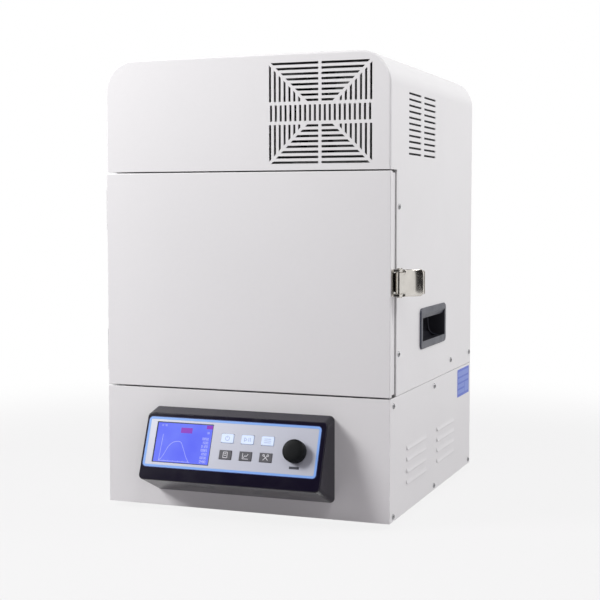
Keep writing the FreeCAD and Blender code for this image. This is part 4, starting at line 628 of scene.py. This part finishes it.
handle_plastic = finish("handle_plastic", srgb(57, 60, 73), roughness=0.42, scale=1600,
                        depth=0.05, amount=0.2, clouds=40)
# The same grey plastic darkened almost to black for the cup's inner faces: painted shade in the
# recess.
cup_painted_shade = finish("cup_painted_shade", srgb(20, 20, 30), roughness=0.5, scale=1600, depth=0.05,
                     amount=0.3, clouds=40)
for side_name, side in (("right", 1), ("left", -1)):
    node = "carry_handle_" + side_name
    cup = merged(node)
    for vert in cup.verts:
        out = vert.co.x * side
        if abs(vert.co.z - cup_roof) < same_height and out > mouth_from:
            vert.co.x = side * (lip_front if out > mouth_outer else lip_back)
            vert.co.z = lip_low
        elif abs(vert.co.z - cup_floor) < same_height and out > rim_from:
            vert.co.z = sill
    # Faces deep inside the cup take the darkened copy of the plastic, as painted shade.
    painted_shade_faces = []
    for face in cup.faces:
        reach = [vert.co.x * side for vert in face.verts]
        if max(reach) < face_from or max(reach) - min(reach) > wall_depth:
            painted_shade_faces.append(face.index)
    handle = show(node + "_finished", cup, "cabinet", handle_plastic,
                  replaces=(node,))
    handle.data.materials.append(cup_painted_shade)
    for index in painted_shade_faces:
        handle.data.polygons[index].material_index = 1
    rib = tube("handle_rib", [rib_path], rib_radius, Matrix.Diagonal((side, 1, 1, 1)))
    bmesh.ops.recalc_face_normals(rib, faces=rib.faces[:])
    show("handle_rib_" + side_name, rib, "cabinet", handle_plastic,
         weighted=False)

# Control pod: a glossy moulded housing, screwed to the base from behind. Its face tips
# back, and everything on it is drawn about the face's middle, z standing off the face.
face_middle, face_tilt = (-1.0, -277.8, 102.4), math.radians(21.5)
on_face = at(*face_middle) @ Matrix.Rotation(math.pi / 2 - face_tilt, 4, "X")
pod_plastic = finish("pod_plastic", srgb(22, 18, 34), roughness=0.2, scale=600, depth=0.004,
                     amount=0.2, clouds=30, Coat_Weight=0.12, Coat_Roughness=0.05,
                     Specular_IOR_Level=0.2)
dress("pod_housing", pod_plastic)

# Name plate: satin silver sheet let into the pod's face. A light blue line inside a dark
# blue edge is printed round it.
plate_centre, plate_size, plate_corner = (-1.9, 6.4), (262.0, 73.2), 6.0
edge_band, line_band, print_height = 0.9, 3.2, 0.12


def rounded_ring(centre, width, height, corner, band, low, high):
    """A flat frame with rounded corners that lies on the face."""
    bm = bmesh.new()
    bmesh.ops.create_grid(bm, x_segments=1, y_segments=1, size=0.5)
    bmesh.ops.scale(bm, vec=(width * mm, height * mm, 1), verts=bm.verts)
    bmesh.ops.bevel(bm, geom=bm.verts[:], offset=corner * mm, segments=8, profile=0.5,
                    affect="VERTICES", material=-1)
    inner = bm.faces[:]
    bmesh.ops.inset_individual(bm, faces=inner, thickness=band * mm, use_even_offset=True)
    bmesh.ops.delete(bm, geom=inner, context="FACES")
    ring = bmesh.ops.extrude_face_region(bm, geom=bm.faces[:])["geom"]
    raised = [v for v in ring if isinstance(v, bmesh.types.BMVert)]
    bmesh.ops.translate(bm, vec=(0, 0, (high - low) * mm), verts=raised)
    bmesh.ops.transform(bm, matrix=on_face @ at(*centre, low), verts=bm.verts)
    bmesh.ops.recalc_face_normals(bm, faces=bm.faces[:])
    return bm


plate_silver = finish("plate_silver", srgb(184, 186, 198), roughness=0.4, scale=1500,
                      depth=0.006, amount=0.06, clouds=30, Metallic=0.25)
dress("pod_faceplate", plate_silver, edge=0.1)
line_blue = finish("line_blue", srgb(128, 172, 240), roughness=0.4, scale=1500, depth=0.004,
                   amount=0.1, clouds=40)
edge_blue = finish("edge_blue", srgb(22, 38, 104), roughness=0.35, scale=1500, depth=0.004,
                   amount=0.1, clouds=40)
show("plate_edge_line", rounded_ring(plate_centre, *plate_size, plate_corner, edge_band, 0,
                                     print_height), "cabinet", edge_blue)
inside = [side - 2 * edge_band for side in plate_size]
show("plate_border_line", rounded_ring(plate_centre, *inside, plate_corner - edge_band,
                                       line_band, 0, print_height),
     "cabinet", line_blue)

# Display: a backlit blue panel, sunk behind the plate's opening in a black gasket. It draws a
# firing curve over two axes with ticks. Points are parts of its width and height.
lcd_centre, lcd_size, lcd_face = (-75.1, 6.6), (87.3, 58.1), -1.7
screen_thick, gasket_corner, gasket_band, gasket_top = 0.8, 0.3, 0.9, -0.15
trace_low, trace_high = lcd_face, lcd_face + 0.1
axis_lines = [((0.125, 0.3), (0.108, 0.95), 0.5), ((0.1, 0.95), (0.66, 0.95), 0.5)]
tick_start, tick_step, tick_count, tick_width = 0.108, 0.085, 6, 0.35
firing_rise = ((0.11, 0.95), (0.15, 0.9), (0.2, 0.74), (0.24, 0.6), (0.32, 0.47),
               (0.45, 0.45), (0.47, 0.5))
firing_fall = ((0.465, 0.485), (0.53, 0.66), (0.585, 0.85), (0.64, 0.95))
curve_radius = 0.27


def glowing(name, painted_shade_faces, bright, strength, gloss):
    """A lit panel: the backlight is uneven and faint pixel rows cross it."""
    made, tree = new_material(name)
    coords = add(tree, "TexCoord")
    glow = add(tree, "TexNoise", {"Vector": coords.outputs["Object"], "Scale": 26.0,
                                  "Detail": 2.0})
    rows = add(tree, "TexWave", {"Vector": coords.outputs["Object"], "Scale": 320.0},
               bands_direction="Z")
    row_share = 0.18
    faint = add(tree, "Math", {0: rows.outputs["Fac"], 1: row_share, 2: glow.outputs["Fac"]},
                operation="MULTIPLY_ADD")
    light = add(tree, "MapRange", {"Value": faint.outputs["Value"], "From Min": 0.3,
                                   "From Max": 0.9})
    colour = add(tree, "Mix", {"Factor": light.outputs["Result"], 6: painted_shade_faces, 7: bright},
                 data_type="RGBA")
    shader = add(tree, "BsdfPrincipled", {
        "Base Color": (0.01, 0.012, 0.03, 1), "Roughness": gloss,
        "Emission Color": colour.outputs[2], "Emission Strength": strength})
    add(tree, "OutputMaterial", {"Surface": shader.outputs["BSDF"]})
    return made


def strip(bm, start, end, width, low, high):
    """A flat bar on the face from start to end, in millimetres."""
    run = Vector(end) - Vector(start)
    middle = (Vector(start) + Vector(end)) / 2
    turn = Matrix.Rotation(math.atan2(run.y, run.x), 4, "Z")
    block(bm, on_face @ at(*middle, (low + high) / 2) @ turn, (run.length, width, high - low))


def on_screen(across, down):
    """A point of the display on the face, from the display's upper left corner."""
    return (lcd_centre[0] + (across - 0.5) * lcd_size[0],
            lcd_centre[1] + (0.5 - down) * lcd_size[1])


def trace(lines, high=trace_high):
    """Bars on the display from lines of start, end and width."""
    bm = bmesh.new()
    for start, end, width in lines:
        strip(bm, on_screen(*start), on_screen(*end), width, trace_low, high)
    return bm


screen_blue = glowing("screen_blue", srgb(98, 108, 250), srgb(122, 136, 255), 0.96, 0.1)
screen = bmesh.new()
block(screen, on_face @ at(*lcd_centre, lcd_face - screen_thick / 2), (*lcd_size, screen_thick))
show("display_screen", screen, "cabinet", screen_blue,
     replaces=("lcd_window",))
gasket_black = finish("gasket_black", srgb(24, 24, 40), roughness=0.5, scale=900, depth=0.02,
                      amount=0.2, clouds=40)
gasket = rounded_ring(lcd_centre, *lcd_size, gasket_corner, gasket_band,
                      lcd_face - screen_thick, gasket_top)
show("display_gasket", gasket, "cabinet", gasket_black)
dress("lcd_module", board_green)
trace_pale = glowing("trace_pale", srgb(176, 182, 255), srgb(205, 210, 255), 0.95, 0.2)
foot_of_axis = axis_lines[1][0][1]
for step in range(1, tick_count + 1):
    tick = tick_start + step * tick_step
    axis_lines.append(((tick, foot_of_axis - 0.025), (tick, foot_of_axis), tick_width))
show("display_axes", trace(axis_lines), "cabinet", trace_pale, weighted=False)
drawn_curve = tube("firing_curve", [[(*on_screen(*point), lcd_face) for point in run]
                                    for run in (firing_rise, firing_fall)],
                   curve_radius, on_face)
show("display_curve", drawn_curve, "cabinet", trace_pale, weighted=False)

# Readings: a column of numbers at the display's right edge and two at its top. Each digit
# lights some of seven bars, and two coloured fields beside them mark an alert.
alert_bars = [((0.43, 0.18), (0.63, 0.18), 7.6), ((0.875, 0.07), (0.995, 0.07), 5.0)]
alert_high = trace_high - 0.05
digit_bars = {"a": ((0, 2), (1, 2)), "b": ((1, 2), (1, 1)), "c": ((1, 1), (1, 0)),
              "d": ((0, 0), (1, 0)), "e": ((0, 1), (0, 0)), "f": ((0, 2), (0, 1)),
              "g": ((0, 1), (1, 1))}
digit_shapes = {"0": "abcdef", "1": "bc", "2": "abged", "3": "abgcd", "4": "fgbc",
                "5": "afgcd", "6": "afgedc", "7": "abc", "8": "abcdefg", "9": "abcdfg"}
digit_pitch = 1.6
column_texts = ("0850", "1500", "0120", "0065", "1250", "0030", "0480")
column_corner, column_step = (0.83, 0.385), 0.092
reading_lines = [(text, (column_corner[0], column_corner[1] + row * column_step), 1.55, 0.45)
                 for row, text in enumerate(column_texts)]
reading_lines += [("12 45", (0.07, 0.1), 1.2, 0.32), ("08", (0.9, 0.23), 1.2, 0.32)]
readings = bmesh.new()
for text, corner, width, stroke in reading_lines:
    left, foot = on_screen(*corner)
    for place, digit in enumerate(text):
        for bar in digit_shapes.get(digit, ""):
            ends = [(left + (place * digit_pitch + x) * width, foot + y * width)
                    for x, y in digit_bars[bar]]
            strip(readings, *ends, stroke, trace_low, trace_high)
show("display_readings", readings, "cabinet", trace_pale, weighted=False)
alert_red = glowing("alert_red", srgb(128, 60, 205), srgb(160, 62, 190), 0.9, 0.2)
show("display_alert", trace(alert_bars, alert_high), "cabinet", alert_red,
     weighted=False)

# Keys: three backlit keys over three dark ones, moulded in one row each and held by the key
# board behind the plate. Each has its own printed sign, drawn here in short bars.
key_first, key_step, key_top = (-7.6, 17.5), (30.1, 23.3), 1.0
sign_stroke, sign_height = 0.9, 0.08


def arc(centre, radius, start, end, steps):
    """The ends of the short bars that follow an arc, angles in degrees."""
    angles = [math.radians(start + (end - start) * step / steps) for step in range(steps + 1)]
    points = [(centre[0] + radius * math.cos(a), centre[1] + radius * math.sin(a))
              for a in angles]
    return list(zip(points, points[1:]))


key_signs = (
    arc((0, 0), 3.0, 120, 420, 16) + [((0, 0.8), (0, 4.0))],
    [((-4.4, -2.6), (-4.4, 2.6)), ((-4.4, 2.6), (-0.4, 0)), ((-0.4, 0), (-4.4, -2.6)),
     ((2.0, -2.6), (2.0, 2.6)), ((4.4, -2.6), (4.4, 2.6))],
    [((-5, 2.6), (5, 2.6)), ((-5, 0), (5, 0)), ((-5, -2.6), (5, -2.6))],
    [((-3, -4), (-3, 4)), ((-3, 4), (3, 4)), ((3, 4), (3, -4)), ((3, -4), (-3, -4)),
     ((-1.4, 1.6), (1.4, 1.6)), ((-1.4, -0.8), (1.4, -0.8))],
    [((-4, 3.8), (-4, -3.8)), ((-4, -3.8), (4.4, -3.8)), ((-2.6, -2.2), (-0.4, 0.8)),
     ((-0.4, 0.8), (1.4, -0.4)), ((1.4, -0.4), (4.2, 3.2))],
    [((-3.6, -3.6), (2.2, 2.2)), ((3.6, -3.6), (-2.2, 2.2))] + arc((3.1, 3.1), 1.3, 0, 360, 8)
    + arc((-3.1, 3.1), 1.3, 0, 360, 8),
)
key_lit = finish("key_lit", srgb(214, 226, 244), roughness=0.35, scale=1200, depth=0.004,
                 amount=0.06, Emission_Color=srgb(170, 195, 240), Emission_Strength=0.22)
key_dark = finish("key_dark", srgb(82, 82, 88), roughness=0.38, scale=1200, depth=0.004,
                  amount=0.12)
sign_grey = finish("sign_grey", srgb(176, 190, 222), roughness=0.5, scale=1500, depth=0.004)
sign_pale = finish("sign_pale", srgb(214, 214, 220), roughness=0.5, scale=1500, depth=0.004)
for number, sign in enumerate(key_signs, 1):
    row, column = divmod(number - 1, 3)
    x, y = key_first[0] + column * key_step[0], key_first[1] - row * key_step[1]
    dress(f"key_{number}", (key_lit, key_dark)[row], smooth=50)
    drawn = bmesh.new()
    for start, end in sign:
        strip(drawn, (x + start[0], y + start[1]), (x + end[0], y + end[1]), sign_stroke,
              key_top, key_top + sign_height)
    show(f"key_sign_{number}", drawn, f"button_{number}",
         (sign_grey, sign_pale)[row], weighted=False)
dress("key_board", board_green)

# Knob: a domed cap, moulded in soft black plastic and pushed on the encoder's shaft. An index
# mark is printed on the plate below it.
knob_centre, knob_steps = (95.6, 4.8), 72
knob_profile = ((0.0, 14.0), (7.0, 13.9), (12.0, 13.6), (14.4, 13.0), (15.6, 11.9),
                (16.0, 10.2), (16.0, 3.0), (15.8, 1.0), (15.4, 0.45), (14.6, 0.3), (3.05, 0.3),
                (3.05, 10.0), (0.0, 10.0))
mark_down, mark_half, mark_width = 21.8, 7.2, 3.4
knob_black = finish("knob_black", srgb(11, 13, 15), roughness=0.5, scale=1800, depth=0.02,
                    amount=0.25, clouds=60, Specular_IOR_Level=0.12)
knob = bmesh.new()
turned(knob, knob_profile, knob_steps)
closed(knob)
bmesh.ops.transform(knob, matrix=on_face @ at(*knob_centre, 0), verts=knob.verts)
show("knob_cap", knob, "knob", knob_black, smooth=50,
     replaces=("selector_knob",), weighted=False)
dress("encoder_body", sensor_steel)
dress("encoder_shaft", sensor_steel)
mark_ink = finish("mark_ink", srgb(52, 54, 66), roughness=0.45, scale=1500, depth=0.004)
index_mark = bmesh.new()
mark_y = knob_centre[1] - mark_down
strip(index_mark, (knob_centre[0] - mark_half, mark_y), (knob_centre[0] + mark_half, mark_y),
      mark_width, 0, print_height)
show("knob_index_mark", index_mark, "cabinet", mark_ink, weighted=False)

# Screws: plated pan heads with a cross recess. One head is cut, and set wherever the frame
# has a screw and along the rear panel's edges. The recesses stand at different angles.
screw_profile = ((0.0, 2.0), (1.6, 1.95), (2.9, 1.6), (3.7, 1.0), (4.0, 0.3), (4.0, 0.0),
                 (0.0, 0.0))
screw_top, screw_steps, screw_turn, place_grid = 2.0, 28, 0.7, 0.5
cross_length, cross_width, cross_depth = 3.8, 0.85, 1.1
rear_face = 235.0
rear_screw_across = (-206.0, 206.0)
rear_screw_heights = (20.0, 168.0, 320.0, 470.0, 600.0)


def screw_head():
    """One head, seated at z 0 and standing up along z."""
    bm = bmesh.new()
    turned(bm, screw_profile, screw_steps)
    closed(bm)
    head = link("screw_blank", bpy.data.meshes.new("screw_blank"))
    bm.to_mesh(head.data)
    bm.clear()
    for angle in (0, math.pi / 2):
        block(bm, Matrix.Rotation(angle, 4, "Z") @ at(0, 0, screw_top),
              (cross_length, cross_width, 2 * cross_depth))
    tool = link("cross_tool", bpy.data.meshes.new("cross_tool"))
    bm.to_mesh(tool.data)
    bm.free()
    recess = head.modifiers.new("recess", "BOOLEAN")
    recess.object = tool
    recess.operation = "DIFFERENCE"
    recess.use_self = True
    bpy.context.view_layer.update()
    cut = bpy.data.meshes.new_from_object(
        head.evaluated_get(bpy.context.evaluated_depsgraph_get()))
    for made in (head, tool):
        bpy.data.objects.remove(made)
    return cut


def islands(bm):
    """The middles and sizes of a mesh's separate solids, in the order of their places."""
    left, found = set(bm.verts), []
    while left:
        grown, seen = [left.pop()], []
        while grown:
            vert = grown.pop()
            seen.append(vert.co)
            for edge in vert.link_edges:
                other = edge.other_vert(vert)
                if other in left:
                    left.remove(other)
                    grown.append(other)
        low = Vector(map(min, *seen))
        high = Vector(map(max, *seen))
        found.append(((low + high) / 2, high - low))
    return sorted(found, key=lambda solid: [round(c / mm / place_grid) for c in solid[0]])


screw_steel = finish("screw_steel", srgb(150, 150, 152), roughness=0.26, scale=900, depth=0.01,
                     amount=0.3, clouds=120, Metallic=1.0)
seats = []
blanks = merged("cabinet_screws")
for number, (middle, size) in enumerate(islands(blanks)):
    side = 1 if middle.x > 0 else -1
    seat = Matrix.Translation((middle.x - side * size.x / 2, middle.y, middle.z))
    seats.append((seat @ Matrix.Rotation(side * math.pi / 2, 4, "Y"), number * screw_turn))
blanks.free()
for height in rear_screw_heights:
    for across in rear_screw_across:
        seat = at(across, rear_face, height)
        seats.append((seat @ Matrix.Rotation(-math.pi / 2, 4, "X"), height))
head_mesh = screw_head()
screws = bmesh.new()
for seat, turn in seats:
    before = len(screws.verts)
    screws.from_mesh(head_mesh)
    screws.verts.ensure_lookup_table()
    bmesh.ops.transform(screws, matrix=seat @ Matrix.Rotation(turn, 4, "Z"),
                        verts=screws.verts[before:])
show("panel_screws", screws, "cabinet", screw_steel, smooth=35,
     replaces=("cabinet_screws",), weighted=False)

# Record label: a blue sticker with blank ruled fields, low on the right wall near the rear.
# Each field is its place and size from the label's lower corner nearest the front.
label_low, label_size = Vector((215.0, 146.0, 130.0)), (80.0, 45.0)
label_thick, label_corner = 0.15, 2.5
label_fields = ((4, 33, 72, 8), (4, 23.5, 72, 6.5), (4, 14, 44, 6.5), (4, 4.5, 44, 6.5),
                (51, 4.5, 25, 16))
field_sunk, field_proud, field_corner = 0.05, 0.06, 0.8


def sticker(bm, across, up, width, height, low, high, corner):
    """A thin rounded sheet on the wall, from its lower corner nearest the front."""
    first = len(bm.verts)
    bmesh.ops.create_grid(bm, x_segments=1, y_segments=1, size=0.5)
    bm.verts.ensure_lookup_table()
    bmesh.ops.scale(bm, vec=(width * mm, height * mm, 1), verts=bm.verts[first:])
    bmesh.ops.bevel(bm, geom=bm.verts[first:], offset=corner * mm, segments=5, profile=0.5,
                    affect="VERTICES", material=-1)
    bm.verts.ensure_lookup_table()
    outline = set(bm.verts[first:])
    sheet = [face for face in bm.faces if outline.issuperset(face.verts)]
    raised = bmesh.ops.extrude_face_region(bm, geom=sheet)["geom"]
    top = [v for v in raised if isinstance(v, bmesh.types.BMVert)]
    bmesh.ops.translate(bm, vec=(0, 0, (high - low) * mm), verts=top)
    bm.verts.ensure_lookup_table()
    to_wall = Matrix(((0, 0, 1, 0), (1, 0, 0, 0), (0, 1, 0, 0), (0, 0, 0, 1)))
    stand = at(*label_low + Vector((low, across + width / 2, up + height / 2))) @ to_wall
    bmesh.ops.transform(bm, matrix=stand, verts=bm.verts[first:])


label_blue = finish("label_blue", srgb(92, 116, 218), roughness=0.45, scale=1300, depth=0.004,
                    amount=0.1, clouds=30)
label_pale = finish("label_pale", srgb(134, 156, 232), roughness=0.5, scale=1300, depth=0.004,
                    amount=0.1, clouds=30)
label = bmesh.new()
sticker(label, 0, 0, *label_size, 0, label_thick, label_corner)
bmesh.ops.recalc_face_normals(label, faces=label.faces[:])
show("record_label", label, "cabinet", label_blue, weighted=False)
fields = bmesh.new()
for across, up, width, height in label_fields:
    sticker(fields, across, up, width, height, label_thick - field_sunk,
            label_thick + field_proud, field_corner)
bmesh.ops.recalc_face_normals(fields, faces=fields.faces[:])
show("record_label_fields", fields, "cabinet", label_pale, weighted=False)
